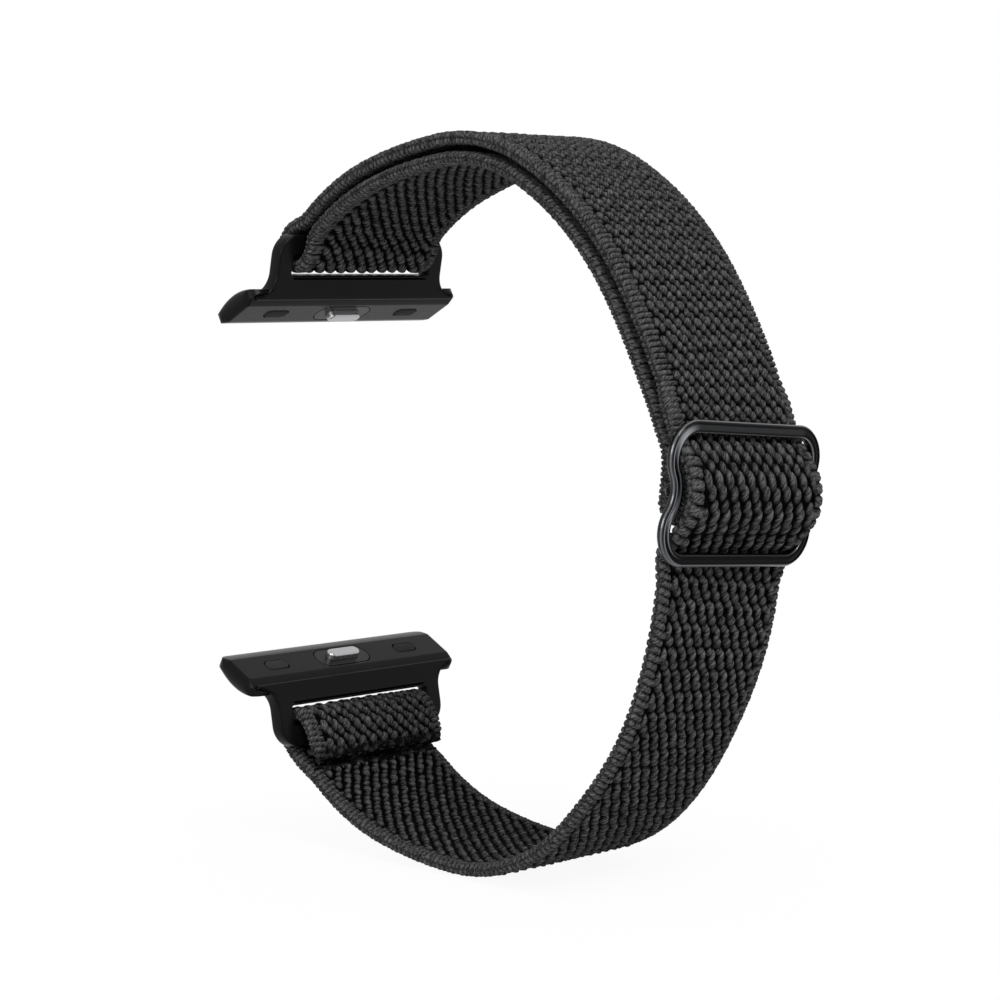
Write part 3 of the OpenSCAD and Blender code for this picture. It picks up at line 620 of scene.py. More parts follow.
def yarn_group():
    """Filaments of a twisted cord: noise drawn out along a slanted line of the yarn coordinates."""
    group, start, end = socket_group(
        "filaments",
        (("NodeSocketVector", "Yarn", None), ("NodeSocketFloat", "Twist", 0.5),
         ("NodeSocketFloat", "Across", 6.0), ("NodeSocketFloat", "Along", 1.5)),
        (("NodeSocketFloat", "Height"), ("NodeSocketFloat", "Fuzz")),
    )
    split = group.nodes.new("ShaderNodeSeparateXYZ")
    group.links.new(start.outputs["Yarn"], split.inputs[0])
    twisted = math_node(group, "MULTIPLY", split.outputs[1], start.outputs["Twist"])
    slanted = math_node(group, "ADD", split.outputs[0], twisted)
    drawn = fill(group, group.nodes.new("ShaderNodeCombineXYZ"),
                 X=math_node(group, "MULTIPLY", slanted, start.outputs["Across"]),
                 Y=math_node(group, "MULTIPLY", split.outputs[1], start.outputs["Along"]))
    fill(group, end, Height=noise(group, drawn.outputs[0], scale=1.0, detail=1.0),
         Fuzz=noise(group, start.outputs["Yarn"], scale=7.0))
    return group


FILAMENTS = yarn_group()


def principled(name, **values):
    """A material, its nodes and its Principled shader, with plain values set on the shader."""
    material = bpy.data.materials.new(name)
    material.use_nodes = True
    tree = material.node_tree
    return material, tree, fill(tree, tree.nodes["Principled BSDF"], **values)


# Colours of the webbing: painted shade between its cords, its darker and paler cords, and a painted glint of
# light on their filaments
PAINTED_CREVICE_SHADE, DARK_CORD, PALE_CORD = (0.0005, 0.0005, 0.0005), (0.0132, 0.0132, 0.0136), (0.0235, 0.0235, 0.024)
PAINTED_FILAMENT_GLINT = (0.13, 0.13, 0.132)


def webbing_material():
    """Charcoal nylon, with painted shade: near black between the cords and low on the floats, by the height
    the mesh holds, which also paints the floats' highest ends lighter. It has a painted glint along its
    filaments and slight changes from cord to cord.
    """
    material, tree, shader = principled("nylon_webbing", Roughness=0.7, Specular_IOR_Level=0.02)
    # Painted shade: the colour falls to near black where the weave's height is low, between and under the
    # floats
    painted_depth_shade = from_between(tree, at_points(tree, "height"), 0.05, 1.05, smooth=True)
    uv = tree.nodes.new("ShaderNodeUVMap")
    uv.uv_map = "yarn"
    yarn = tree.nodes.new("ShaderNodeGroup")
    yarn.node_tree = FILAMENTS
    fill(tree, yarn, Yarn=uv.outputs[0], Twist=-0.6)
    patches = noise(tree, uv.outputs[0], scale=0.8)
    body = mix_colour(tree, patches, DARK_CORD, PALE_CORD)
    strands = scaled(tree, yarn.outputs["Fuzz"], factor=0.6, offset=yarn.outputs["Height"])
    # Painted glint: where the filament noise is high, the colour turns pale, as light catching the fibres
    painted_glint_mask = from_between(tree, strands, 0.64, 1.02)
    with_painted_glint = mix_colour(tree, painted_glint_mask.outputs[0], body, PAINTED_FILAMENT_GLINT)
    fill(tree, shader, Base_Color=mix_colour(tree, painted_depth_shade.outputs[0], PAINTED_CREVICE_SHADE, with_painted_glint))
    bumped(tree, shader, yarn.outputs["Height"], distance=0.09, strength=0.9)
    return material


def coated_metal(name, colour, roughness, gloss):
    """Black coated metal with a fine grain in its gloss, and painted highlights of paler, mirroring metal
    where the mesh's glint value is set.
    """
    material, tree, shader = principled(name, Specular_IOR_Level=gloss)
    place = on_piece(tree)
    grain = noise(tree, place, scale=1800.0, detail=3.0)
    patches = noise(tree, place, scale=160.0)
    paint = mix_colour(tree, patches, colour, tuple(c * 1.5 for c in colour))
    # Painted highlights: pale metal that mirrors the white where the mesh's glint value is set
    painted_glint = at_points(tree, "painted_glint")
    fill(tree, shader, Base_Color=mix_colour(tree, painted_glint, paint, GLINT_METAL), Metallic=painted_glint,
         Roughness=scaled(tree, grain, factor=0.12, offset=roughness - 0.06))
    bumped(tree, shader, grain, distance=0.004, strength=0.4)
    return material


def dress(piece, material):
    """Gives a piece one material."""
    piece.data.materials.clear()
    piece.data.materials.append(material)
    return piece


def slider_outline(count):
    """Half outline of the slider from top middle to bottom middle on +Y: points y, t and inward normals.
    A lobe's arc, the waist's hollow arc and the lower lobe's arc follow one another tangentially."""
    lobe = SLIDER_H / 4
    lobe_y = SLIDER_W / 2 - lobe
    reach = (WAIST_IN ** 2 + lobe ** 2) / (2 * WAIST_IN)
    hollow_y = lobe_y + reach - WAIST_IN
    turn = math.atan2(-lobe, reach - WAIST_IN)
    straight = np.linspace(0, lobe_y, count)[:-1]
    a = np.linspace(math.pi / 2, turn, 2 * count)[:-1]
    b = np.linspace(math.pi + turn, math.pi - turn, count)[:-1]
    c = np.linspace(-turn, -math.pi / 2, 2 * count)
    y = np.concatenate([straight, lobe_y + lobe * np.cos(a), hollow_y + (reach - lobe) * np.cos(b),
                        lobe_y + lobe * np.cos(c), straight[::-1]])
    t = np.concatenate([0 * straight + 2 * lobe, lobe + lobe * np.sin(a), (reach - lobe) * np.sin(b),
                        -lobe + lobe * np.sin(c), 0 * straight - 2 * lobe])
    ny = np.concatenate([0 * straight, -np.cos(a), np.cos(b), -np.cos(c), 0 * straight])
    nt = np.concatenate([0 * straight - 1, -np.sin(a), np.sin(b), -np.sin(c), 0 * straight + 1])
    return y, t, ny, nt


# Section of the slider's wire: distance in from the outer edge, and depth towards the front
WIRE_SECTION = ((0.16, -0.2), (0.0, 0.08), (0.03, 0.24), (0.24, 0.5), (0.31, 0.535), (0.38, 0.5),
                (0.44, 0.45), (0.52, 0.44), (0.66, 0.5), (0.84, 0.535), (1.02, 0.52), (1.14, 0.46),
                (1.24, 0.34), (1.3, 0.2), (1.3, -0.22), (1.27, -0.36), (1.17, -0.47), (1.02, -0.53),
                (0.75, -0.55), (0.5, -0.53), (0.36, -0.47), (0.24, -0.36))
# Painted highlights on the wire: their bands' soft edge, how far to the front they start, how gathered the
# corner's one is, and the pale metal that mirrors the white in them
GLINT_EDGE, GLINT_FRONT, CORNER_SHARP, GLINT_METAL = 0.06, 0.1, 16, (0.33, 0.34, 0.36)


def smooth_loop(points, times):
    """Closed loop with its corners cut: each side gives its quarter and three-quarter points."""
    loop = np.array(points, float)
    for _ in range(times):
        after = np.roll(loop, -1, 0)
        loop = np.stack([0.75 * loop + 0.25 * after, 0.25 * loop + 0.75 * after], 1).reshape(-1, 2)
    return loop


def closed_quads(rows, columns):
    """Quads of a grid that is closed both ways."""
    quads = tube_quads(rows + 1, columns)
    return quads % (rows * columns)


def on_slider(n, y, t):
    """Points in the slider's own axes, turned by its skew in its plane and leant into the loop's."""
    turn = math.atan(SKEW)
    x, z = off_slider(n, t * math.cos(turn) - y * math.sin(turn))
    return np.stack([x, y * math.cos(turn) + t * math.sin(turn), z], -1)


def slider_wire():
    """The slider's frame: its wire's section carried round the outline, with each point moved in along the
    outline's normal and out along the slider's own normal. Its painted highlights are a sum of lines along
    the wire, each a bell curve of the distance in, and of flat bands, weighted by the side of the frame that
    they are on, so that the sides turned to the light carry brighter lines."""
    y, t, ny, nt = slider_outline(22)
    y, t = np.concatenate([y, -y[-2:0:-1]]), np.concatenate([t, t[-2:0:-1]])
    ny, nt = np.concatenate([ny, -ny[-2:0:-1]]), np.concatenate([nt, nt[-2:0:-1]])
    loop = smooth_loop(WIRE_SECTION, 2)
    side = y[:, None] + ny[:, None] * loop[None, :, 0]
    up = t[:, None] + nt[:, None] * loop[None, :, 0]
    points = on_slider(loop[None, :, 1] + 0 * side, side, up)
    rows, columns = side.shape
    inset, depth = loop[None, :, 0], loop[None, :, 1]
    left, top, low = (np.clip(v, 0, 1)[:, None] ** 2 for v in (ny, -nt, nt))
    corner = (0.5 + 0.5 * (ny - nt)[:, None] / math.sqrt(2)) ** CORNER_SHARP

    def line(at, wide):
        return np.exp(-((inset - at) / wide) ** 2)

    def band(start, stop):
        return ease((inset - start) / GLINT_EDGE) * ease((stop - inset) / GLINT_EDGE)

    outer_edge, inner_edge, ridges = line(0.06, 0.045), line(1.17, 0.045), line(0.29, 0.04) + line(0.8, 0.05)
    rim, groove = band(0.05, 0.34), band(0.38, 0.98)
    # Painted highlights, brighter on the sides of the frame that face the light
    painted_lines = (0.2 + 0.28 * np.maximum(left, top)) * outer_edge + 0.36 * low * rim
    painted_lines = painted_lines + 0.75 * left * ridges + 0.75 * corner * groove + (0.7 - 0.55 * low) * inner_edge
    painted_glint = np.where(depth > GLINT_FRONT, np.clip(painted_lines, 0, 1), 0) + np.zeros((rows, columns))
    return points.reshape(-1, 3), closed_quads(rows, columns), painted_glint.ravel()


def tubes(paths, radius, sides):
    """Round tubes along paths of equally many points: rings across each path's direction, with flat ends.
    Gives points, quads and end polygons."""
    paths = np.asarray(paths, float)
    heading = np.gradient(paths, axis=1)
    heading /= np.linalg.norm(heading, axis=-1, keepdims=True)
    u = np.cross(heading, np.array([0.31, 0.17, 0.93]))
    u /= np.linalg.norm(u, axis=-1, keepdims=True)
    v = np.cross(heading, u)
    a = np.linspace(0, 2 * math.pi, sides, endpoint=False)[:, None]
    points = paths[:, :, None] + radius * (np.cos(a) * u[:, :, None] + np.sin(a) * v[:, :, None])
    count, rows = paths.shape[:2]
    first = np.arange(count)[:, None, None] * rows * sides
    quads = (first + tube_quads(rows, sides)[None]).reshape(-1, 4)
    ends = (first[:, 0] + np.arange(sides)[::-1], first[:, 0] + np.arange(sides) + (rows - 1) * sides)
    return points.reshape(-1, 3), quads, list(np.concatenate(ends))


def capped(grid):
    """A shell from a grid closed across its columns: points, quads, and its first and last rows as ends."""
    rows, columns = grid.shape[:2]
    caps = (np.arange(columns), np.arange(columns) + (rows - 1) * columns)
    return grid.reshape(-1, 3), tube_quads(rows, columns), caps


def outward(points, quads, caps):
    """The same closed shell with its faces turned outwards, told by the sign of its volume."""
    a, b, c, d = (points[quads[:, i]] for i in range(4))
    volume = np.sum(np.cross(b - a, c - a) * a) + np.sum(np.cross(c - a, d - a) * a)
    for cap in caps:
        fan = points[cap]
        volume += np.sum(np.cross(fan[1:-1] - fan[0], fan[2:] - fan[0]) * fan[0])
    if volume > 0:
        return points, quads, list(caps)
    return points, quads[:, ::-1], [np.asarray(cap)[::-1] for cap in caps]


def join_shells(name, shells, attributes=()):
    """One object from several closed shells, each points, quads and end polygons."""
    points, quads, caps, base = [], [], [], 0
    for shell in shells:
        shell_points, shell_quads, shell_caps = outward(*shell)
        points.append(shell_points)
        quads.append(shell_quads + base)
        caps += [np.asarray(cap) + base for cap in shell_caps]
        base += len(shell_points)
    return mesh_object(name, np.concatenate(points), np.concatenate(quads), caps, attributes=attributes)


def flat_faces(piece, angle=40):
    """Keeps the flat faces of a hard piece flat: sharp edges by angle, and normals weighted by face area."""
    piece.data.set_sharp_from_angle(angle=math.radians(angle))
    weighted = piece.modifiers.new("flat_faces", "WEIGHTED_NORMAL")
    weighted.keep_sharp = True
    weighted.weight = 80
    return piece


def slider_piece():
    """Slider: the grooved wire, and the centre bar as a rod bent forward into the waist at both ends."""
    points, quads, painted_glint = slider_wire()
    inside_wire, corner, bar_end = 0.2, 0.8, 0.1
    ear = THREAD_W / 2 + WAIST_CLEAR + WIRE_W / 2 - inside_wire
    bend = sweep(0, 90, 10)
    end_n = -BAR_SINK + corner * (1 - np.sin(bend))
    end_y = ear - corner + corner * np.cos(bend)
    n = np.concatenate([[bar_end], end_n, end_n[::-1], [bar_end]])
    y = np.concatenate([[ear], end_y, -end_y[::-1], [-ear]])
    bar = tubes(on_slider(n, y, 0 * n)[None], BAR_D / 2, 32)
    painted_glint = np.concatenate([painted_glint, np.zeros(len(bar[0]))])
    piece = flat_faces(join_shells("slider", ((points, quads, ()), bar), (("painted_glint", painted_glint),)), 60)
    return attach(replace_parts(piece, "slider_frame"), "slider")


def adapter_rims():
    """Outer outline and window of an adapter's plate, in its own axes Y and Z, point for point on the +Y half
    from the top's middle to the foot's middle: straight top, round corner, arm, flare and foot."""
    def arc(y, z, r, a0, a1, count):
        a = sweep(a0, a1, count + 1)[1:]
        return np.stack([y + r * np.cos(a), z + r * np.sin(a)], 1)

    def line(y0, z0, y1, z1, count):
        f = np.linspace(0, 1, count + 1)[1:, None]
        return np.array([y0, z0]) + f * np.array([y1 - y0, z1 - z0])

    half, low = ADAPTER_W / 2, NECK_Z - NECK_ROOT
    flare_z = low + FLARE_FOOT + FLARE_R
    top, r, sill_end = half - CORNER_R, WINDOW_R, SLOT_W / 2 - WINDOW_R - SILL_SHORT
    window, sill = SLOT_W / 2, SLOT_Z
    outer = np.concatenate([
        [[0, ADAPTER_TOP]], line(0, ADAPTER_TOP, top, ADAPTER_TOP, 10),
        arc(top, ADAPTER_TOP - CORNER_R, CORNER_R, 90, 0, 14),
        line(half, ADAPTER_TOP - CORNER_R, half, flare_z, 6),
        arc(half + FLARE_R, flare_z, FLARE_R, 180, 270, 14),
        line(half + FLARE_R, low + FLARE_FOOT, half + FLARE_R, low, 2),
        line(half + FLARE_R, low, 0, low, 50)])
    inner = np.concatenate([
        [[0, BAR_LOW]], line(0, BAR_LOW, window - r, BAR_LOW, 10),
        arc(window - r, BAR_LOW - r, r, 90, 0, 14),
        line(window, BAR_LOW - r, window, sill + r, 6),
        arc(window - r, sill + r, r, 0, -90, 14),
        line(window - r, sill, sill_end, sill, 2), line(sill_end, sill, 0, sill, 50)])
    return outer, inner


def lozenge_mask(along_it, across, length, r, blur):
    """One inside a bar with round ends and nothing outside, with a soft step between."""
    far = np.hypot(across, np.maximum(np.abs(along_it) - (length / 2 - r), 0)) - r
    return ease(0.5 - far / blur)


def adapter_plate():
    """Arms, bar and neck as one plate: a rounded section from the outer outline to the window, carried round
    both, with the shallow recess under the window pressed into its front."""
    outer, inner = adapter_rims()

    def whole(half):
        return np.concatenate([half, half[-2:0:-1] * [-1, 1]])

    def normal(rim, sign):
        step = np.roll(rim, -1, 0) - np.roll(rim, 1, 0)
        step /= np.linalg.norm(step, axis=1, keepdims=True)
        return sign * np.stack([step[:, 1], -step[:, 0]], 1)

    outer, inner = whole(outer), whole(inner)
    into, out_of = normal(outer, 1), normal(inner, -1)
    thick, r = ARM_T / 2, PLATE_EDGE
    bend = sweep(0, 90, 5)
    rims = []
    for rim, way in ((outer, into), (inner, out_of)):
        inset = np.concatenate([r - r * np.sin(bend), r * (1 - np.cos(bend))])
        depth = np.concatenate([-thick + r * (1 - np.cos(bend)), thick - r * (1 - np.sin(bend))])
        flat = rim[:, None] + way[:, None] * inset[None, :, None]
        rims.append(np.concatenate([np.broadcast_to(depth[None, :, None], flat.shape[:2] + (1,)), flat], -1))
    f = (np.linspace(0, 1, 22)[1:-1] ** 0.7)[None, :, None]
    front = (1 - f) * rims[0][:, -1:] + f * rims[1][:, -1:]
    wide = SLOT_W - RECESS_SHORT
    pressed = lozenge_mask(front[..., 1], front[..., 2] - SLOT_Z, wide, RECESS_H, RECESS_BLUR)
    front[..., 0] -= RECESS_DEPTH * pressed
    b = np.linspace(1, 0, 5)[1:-1][None, :, None]
    back = (1 - b) * rims[0][:, :1] + b * rims[1][:, :1]
    grid = np.concatenate([rims[0], front, rims[1][:, ::-1], back], 1)
    rows, columns = grid.shape[:2]
    return grid.reshape(-1, 3), closed_quads(rows, columns), ()


def lug_block():
    """The slide-in lug: two arcs meeting in tips, cut off flat at the seat and narrowing at rounded ends. The
    lock's pocket and the pads' seats are sunk into it. Rows run along Y and columns round the section."""
    tip = LUG_L / 2
    ends = tip - LUG_END * (1 - np.cos(sweep(0, 90, 14)))
    run = np.linspace(-ends[-1], ends[-1], 2 * int(ends[-1] / LUG_STEP))
    y = np.concatenate([-ends, run[1:-1], ends[::-1]])[:, None]
    past = np.clip(np.abs(y) - (tip - LUG_PLAN_R), 0, LUG_PLAN_R)
    half = LUG_C / 2 - TIP_BLUNT - LUG_PLAN_R + np.sqrt(LUG_PLAN_R ** 2 - past ** 2)
    over = np.linspace(-1, 1, 66)[None]
    under = np.linspace(1, -1, 34)[None]
    arc_r = (LUG_C ** 2 / 4 + LUG_T ** 2 / 4) / LUG_T
    x_over, x_under = half * over, half * under
    z_over = np.minimum(np.sqrt(arc_r ** 2 - x_over ** 2) - arc_r + LUG_T / 2, SEAT_D)
    z_under = arc_r - LUG_T / 2 - np.sqrt(arc_r ** 2 - x_under ** 2)
    end = np.clip((np.abs(y) - (tip - LUG_END)) / LUG_END, 0, 1)
    round_end = np.maximum(np.sqrt(1 - end ** 2), LUG_END_T)
    seats = ((COVER_T, y, COVER_L, COVER_W, PAD_GAP), (SEAT_D - POCKET_Z, y, BUTTON_L, BUTTON_W, BUTTON_GAP),
             (PAD_DEEP, np.abs(y) - PAD_Y, PAD_L, PAD_W, PAD_GAP))
    sunk = np.max([painted_depth_shade * lozenge_mask(at, x_over, long + 2 * gap, wide / 2 + gap, SEAT_BLUR)
                   for painted_depth_shade, at, long, wide, gap in seats], 0)
    z_over = z_over * round_end - sunk
    x = np.concatenate([x_over, x_under], 1)
    z = np.concatenate([z_over, z_under * round_end], 1)
    return capped(np.stack([x, y + 0 * x, z], -1))


def neck_fillet():
    """The round hollow behind the neck: a quarter-circle section drawn across the adapter."""
    x0, r = -ARM_T / 2, NECK_FILLET_R
    a = sweep(0, -90, 12)
    x = np.concatenate([x0 - r + r * np.cos(a), [x0 + FILLET_IN, x0 + FILLET_IN]])
    z = np.concatenate([NECK_Z + r / 2 + r * np.sin(a), [NECK_Z - r, NECK_Z + r / 2]])
    y = np.linspace(-1, 1, 9)[:, None] * ADAPTER_W / 2
    return capped(np.stack([x[None] + 0 * y, y + 0 * x[None], z[None] + 0 * y], -1))


def pill(length, r, low, high, edge, dome=0.0):
    """A bar with round ends along Y, from low to high, its upper rim rounded and its top a little domed:
    outlines drawn in by the rounding, one above the other."""
    half_turn = sweep(0, 180, 17)
    a = np.concatenate([half_turn, half_turn + math.pi])
    ends = np.repeat([1, -1], len(half_turn)) * (length / 2 - r)
    bend = sweep(0, 90, 6)
    inset = np.concatenate([[0], edge * (1 - np.cos(bend)), [0.5 * r, 0.8 * r]])
    level = np.concatenate([[low], high - edge * (1 - np.sin(bend)), [high + 0.7 * dome, high + dome]])
    ring = (r - inset)[:, None]
    return capped(np.stack([ring * np.cos(a), ring * np.sin(a) + ends, level[:, None] + 0 * a], -1))


def from_lug(points):
    """Points in the lug's own axes, carried into its adapter's: mirrored in Z, turned and moved."""
    x, z = leant(points[:, 0], -points[:, 2], LUG_ANGLE - 90)
    return np.stack([LUG_MID[0] + x, points[:, 1], LUG_MID[1] + z], 1)


def from_adapter(points, end):
    """Points in an adapter's own axes, carried into the loop's: leant, moved, and mirrored if lower."""
    x, z = leant(points[:, 0], points[:, 2], ADAPTER_LEAN)
    side = -1 if end == "lower" else 1
    return np.stack([BARS[end][0] + x, points[:, 1], side * (BARS[end][1] + z)], 1)


def adapter_piece(name, end, shells, material, body, node):
    """One finished piece of an adapter, from shells in the adapter's own axes."""
    placed = [(from_adapter(points, end), quads, caps) for points, quads, caps in shells]
    piece = flat_faces(join_shells(end + "_" + name, placed))
    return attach(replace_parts(dress(piece, material), node), body)


def in_lug(shell, y=0.0):
    """A shell in the lug's own axes, moved along it and carried into the adapter's."""
    points, quads, caps = shell
    return from_lug(points + [0, y, 0]), quads, caps


def thread_material():
    """Black sewing thread: a fine twist in its bump, and some threads paler than others."""
    material, tree, shader = principled("sewing_thread", Roughness=0.7, Specular_IOR_Level=0.04)
    place = on_piece(tree)
    patches = from_between(tree, noise(tree, place, scale=900.0), 0.5, 0.75)
    colour = mix_colour(tree, patches.outputs[0], (0.003, 0.003, 0.003), (0.07, 0.07, 0.07))
    fill(tree, shader, Base_Color=colour)
    bumped(tree, shader, noise(tree, place, scale=6000.0, detail=1.0), distance=0.03)
    return material


def pad_material():
    """Black moulded rubber with a fine matt grain."""
    material, tree, shader = principled("grip_rubber", Roughness=0.85, Specular_IOR_Level=0.2)
    grain = noise(tree, on_piece(tree), scale=5000.0)
    fill(tree, shader, Base_Color=mix_colour(tree, grain, (0.012, 0.012, 0.012), (0.03, 0.03, 0.03)))
    bumped(tree, shader, grain, distance=0.01)
    return material


def steel_material():
    """Brushed steel: noise drawn out along Y in its roughness and bump."""
    material, tree, shader = principled("brushed_steel", Metallic=1.0, Base_Color=(0.42, 0.42, 0.43, 1))
    drawn = tree.nodes.new("ShaderNodeMapping")
    fill(tree, drawn, Scale=(9000, 300, 9000), Vector=on_piece(tree))
    lines = noise(tree, drawn.outputs[0], scale=1.0)
    fill(tree, shader, Roughness=scaled(tree, lines, factor=0.25, offset=0.2))
    bumped(tree, shader, lines, distance=0.004, strength=0.5)
    return material


NYLON = webbing_material()
THREAD = thread_material()
RUBBER = pad_material()
STEEL = steel_material()
SLIDER_METAL = coated_metal("slider_gloss_black", (0.0012, 0.0012, 0.0013), roughness=0.16, gloss=0.035)
ADAPTER_METAL = coated_metal("adapter_satin_black", (0.0025, 0.0025, 0.0027), roughness=0.3, gloss=0.085)
COVER_METAL = coated_metal("cover_satin_black", (0.006, 0.006, 0.0063), roughness=0.3, gloss=0.15)


def over_step(w, y, lift):
    """Points a distance w past the tail's end: on the tail's face, down the step, and on the run under it."""
    on_tail = START["tail"] + np.maximum(-w, 0)
    pressed = 1 - ease((on_tail - START["tail"]) / PRESSED_L)
    top = (ROUND_R - THREAD_SUNK) * (1 - PRESSED_R * pressed) - PRESSED_IN * pressed
    a = on_band(on_tail, y, top + lift)
    b = on_band(START["lower_run"] + TAIL_L + np.maximum(w, 0), y, RUN_SUNK - ROUND_R - lift)
    return a + (b - a) * ease((w + STEP_HALF) / (2 * STEP_HALF))[..., None]


ALONG_THREAD = np.linspace(-1, 1, 7)[None]


def stitch_middles(count, pitch):
    """Places across the webbing of a row of stitches."""
    return (np.arange(count) - (count - 1) / 2)[:, None] * pitch


def stitch_row(s, count, radius):
    """A row of stitches across the webbing at a length s, each lifted off it at its middle."""
    middles = stitch_middles(count, STITCH_PITCH)
    lift = ROUND_R - THREAD_SUNK + STITCH_RISE * THREAD_D * (1 - ALONG_THREAD ** 4)
    paths = on_band(s + 0 * middles + 0 * ALONG_THREAD, middles + STITCH_L * ALONG_THREAD / 2, lift)
    return tubes(paths, radius, STITCH_SIDES)


def seam_threads():
    """Threads that press the fold's tail down: short ones crossing its end at all angles, as a sewing
    machine's back-and-forth leaves them, a row of stitches on the step, and two rows over the tail."""
    chance = np.random.default_rng(11)
    y = chance.uniform(-TANGLE_SIDE, TANGLE_SIDE, TANGLE)[:, None]
    middle = chance.uniform(TANGLE_FROM, TANGLE_TO, TANGLE)[:, None]
    half = chance.uniform(TANGLE_SHORT, TANGLE_LONG, TANGLE)[:, None]
    turn = chance.normal(0.0, TANGLE_TURN, TANGLE)[:, None]
    f = ALONG_THREAD
    lift = TANGLE_LIFT * (1 - f ** 2)
    tangle = over_step(middle + f * half * np.cos(turn), y + f * half * np.sin(turn), lift)
    middles = stitch_middles(STEP_STITCHES, STEP_PITCH)
    on_step = over_step(STEP_AT + 0 * middles + 0 * f, middles + STEP_L * f / 2, STEP_LIFT * (1 - f ** 4))
    tail_end = START["lower_run"] + TAIL_L
    rows = [stitch_row(tail_end - row * ROW_PITCH, SEAM_STITCHES, STITCH_R) for row in (1, 2)]
    return [tubes(tangle, TANGLE_R, TANGLE_SIDES), tubes(on_step, STITCH_R, STITCH_SIDES)] + rows


def build_webbing():
    """The webbing's pieces along the band, some with a plain back that the other layer hides. Most ride on
    the strap or the slider. The three without a body are baked in place and ride on neither."""
    pieces = (
        ("webbing_lower_fold", "tail", "lower_run", False, "strap", "lower_fold"),
        ("webbing_upper_fold", "upper_fold", "inner_run", False, "strap", "upper_fold"),
        ("webbing_through_slider", "pass_low", "outer_stretch", False, "slider", "slider_pass"),
        ("webbing_end_loop", "drop", "stop", False, "slider", "end_loop"),
        ("webbing_lower_bottom", "lower_run", "lower_middle", False, "strap", "lower_run"),
        ("webbing_lower_side", "lower_middle", "lower_stretch", False, "strap", "lower_run"),
        ("webbing_outer_layer", "outer_run", "upper_fold", True, "strap", "outer_run"),
        ("webbing_inner_layer", "inner_run", "inner_stretch", True, "strap", "inner_run"),
        ("webbing_below_slider", "lower_stretch", "pass_low", False, None, "lower_stretch"),
        ("webbing_above_slider", "outer_stretch", "outer_run", True, None, "outer_stretch"),
        ("webbing_behind_slider", "inner_stretch", "drop", True, None, "inner_stretch"),
    )
    for name, first, last, plain_back, body, node in pieces:
        piece = dress(webbing(name, START[first], START[last], plain_back), NYLON)
        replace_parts(piece, node)
        if body:
            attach(piece, body)
            continue
        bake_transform(piece)


def build_threads():
    """Sewing thread of the fold and of the end loop, which has one row behind the slider's centre bar."""
    end_row = [stitch_row(START["loop"] - END_BACK, END_STITCHES, THREAD_D / 2)]
    for name, shells, body, node in (("fold_thread", seam_threads(), "strap", "fold_stitches"),
                                     ("end_thread", end_row, "slider", "end_stitches")):
        piece = join_shells(name, shells)
        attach(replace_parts(dress(piece, THREAD), node), body)


def build_metal():
    """The slider, the adapters' castings and the small pieces of their locks."""
    dress(slider_piece(), SLIDER_METAL)
    for end in ("upper", "lower"):
        body = end + "_adapter"
        adapter_piece("adapter", end, (adapter_plate(), in_lug(lug_block()), neck_fillet()), ADAPTER_METAL,
                      body, end + "_adapter_frame")
        button = pill(BUTTON_L, BUTTON_W / 2, BUTTON_LOW, SEAT_D + BUTTON_OUT, BUTTON_EDGE)
        adapter_piece("lock_head", end, (in_lug(button),), STEEL, end + "_lock_button",
                      end + "_lock_button")
        foot, top = SEAT_D - PAD_DEEP + PAD_GAP, SEAT_D + PAD_OUT - PAD_GAP
        pad = pill(PAD_L, PAD_W / 2, foot, top, PAD_EDGE, PAD_DOME)
        pads = [in_lug(pad, side) for side in (-PAD_Y, PAD_Y)]
        adapter_piece("pads", end, pads, RUBBER, body, end + "_grip_pads")
        dress(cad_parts[end + "_lock_cover"], COVER_METAL)
        dress(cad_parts[end + "_lock_spring"], STEEL)


build_webbing()
build_threads()
build_metal()

# Camera
CAMERA_AT = (189.74, -197.50, 24.32)
CAMERA_RIGHT = (0.7186, 0.6954, 0.0050)
CAMERA_UP = (-0.0654, 0.0604, 0.9960)
CAMERA_BACK = (0.6923, -0.7161, 0.0889)
camera_data = bpy.data.cameras.new("camera")
camera_data.sensor_width = 36
camera_data.lens = 96.05
camera_data.shift_x, camera_data.shift_y = -0.0142, 0.0028
camera = bpy.data.objects.new("camera", camera_data)
bpy.context.scene.collection.objects.link(camera)
axes = Matrix((CAMERA_RIGHT, CAMERA_UP, CAMERA_BACK)).transposed()
camera.matrix_world = Matrix.Translation(Vector(CAMERA_AT) * MM) @ axes.normalized().to_4x4()
bpy.context.scene.camera = camera


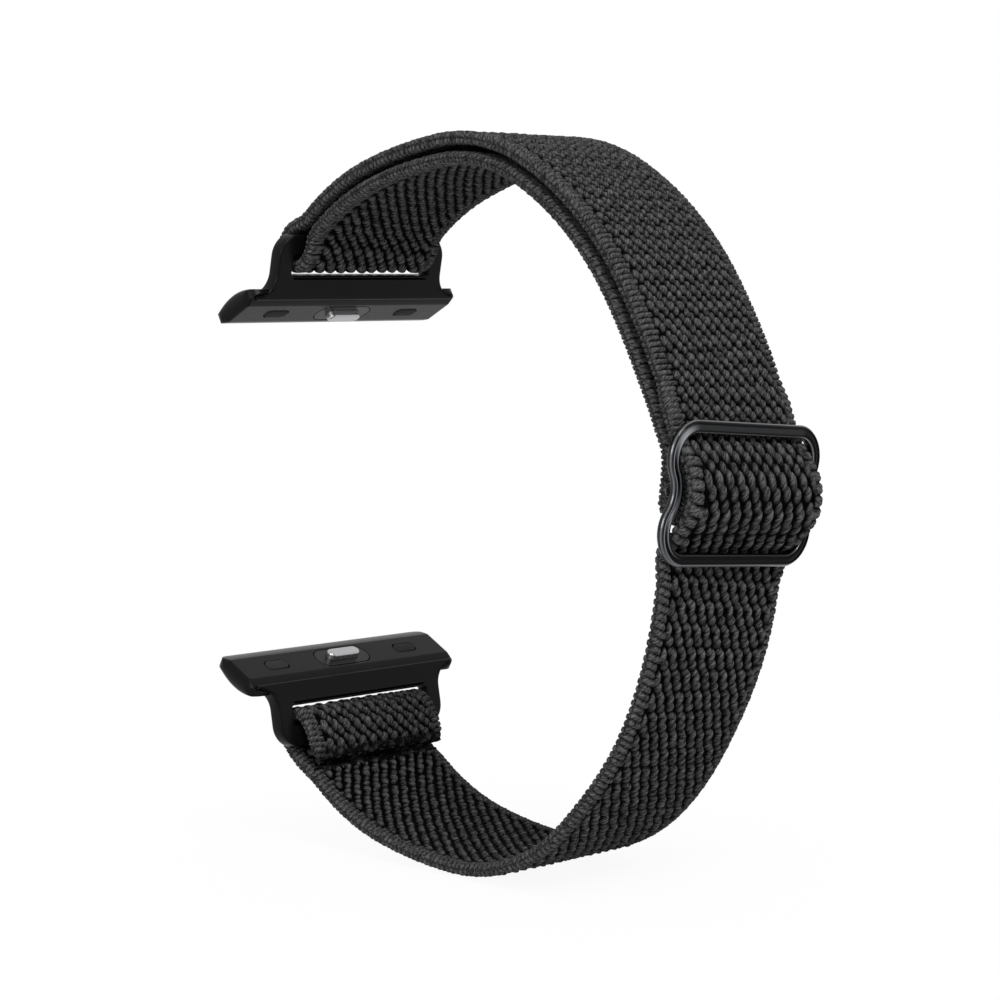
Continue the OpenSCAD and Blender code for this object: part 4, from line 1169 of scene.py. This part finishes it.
def pale_floor():
    """A plain floor that keeps the shadow under the loop and turns to the backdrop's white further out."""
    size, under, fades_at, nearest_white = 4.0, 0.0002, 0.06, 0.93
    bpy.ops.mesh.primitive_plane_add(size=size, location=(0, 0, cad_box[0][2] - under))
    floor = bpy.context.object
    floor.name = "floor"
    material, tree, shader = principled(
        "floor", Roughness=0.9, Specular_IOR_Level=0.1, Base_Color=(0.92, 0.92, 0.92, 1))
    white = tree.nodes.new("ShaderNodeEmission")
    reach = tree.nodes.new("ShaderNodeVectorMath")
    reach.operation = "LENGTH"
    tree.links.new(on_piece(tree), reach.inputs[0])
    far = from_between(tree, reach.outputs["Value"], 0.0, fades_at, smooth=True)
    far.inputs["To Min"].default_value = nearest_white
    mix = tree.nodes.new("ShaderNodeMixShader")
    factor = math_node(tree, "MULTIPLY", seen_directly(tree), far.outputs[0])
    for socket, value in zip(mix.inputs, (factor, shader.outputs[0], white.outputs[0])):
        put(tree, socket, value)
    fill(tree, tree.nodes["Material Output"], Surface=mix.outputs[0])
    dress(floor, material)


def seen_directly(tree):
    """One for rays from the camera and for glossy and see-through rays, so that metal mirrors the white."""
    path = tree.nodes.new("ShaderNodeLightPath")
    mirrored = math_node(tree, "MAXIMUM", path.outputs["Is Glossy Ray"], path.outputs["Is Transmission Ray"])
    return math_node(tree, "MAXIMUM", path.outputs["Is Camera Ray"], mirrored)


def soft_light(name, place, size, power):
    """A square lamp facing the part's middle."""
    data = bpy.data.lights.new(name, "AREA")
    data.size = size
    data.energy = power
    lamp = bpy.data.objects.new(name, data)
    bpy.context.scene.collection.objects.link(lamp)
    lamp.location = place
    lamp.rotation_euler = (-Vector(place)).to_track_quat("-Z", "Y").to_euler()


def light_scene():
    """A pale world that is white to the camera and in reflections, and two soft lamps."""
    world = bpy.data.worlds.new("studio")
    bpy.context.scene.world = world
    world.use_nodes = True
    tree = world.node_tree
    background = tree.nodes["Background"]
    background.inputs[0].default_value = (1, 1, 1, 1)
    ambient = 0.3
    tree.links.new(scaled(tree, seen_directly(tree), 1 - ambient, ambient), background.inputs[1])
    soft_light("key", (0.4, -0.12, 0.54), size=0.3, power=3.25)
    soft_light("fill", (0.2, -0.6, 0.2), size=0.3, power=2.0)


pale_floor()
light_scene()
bpy.context.scene.view_settings.view_transform = "Standard"
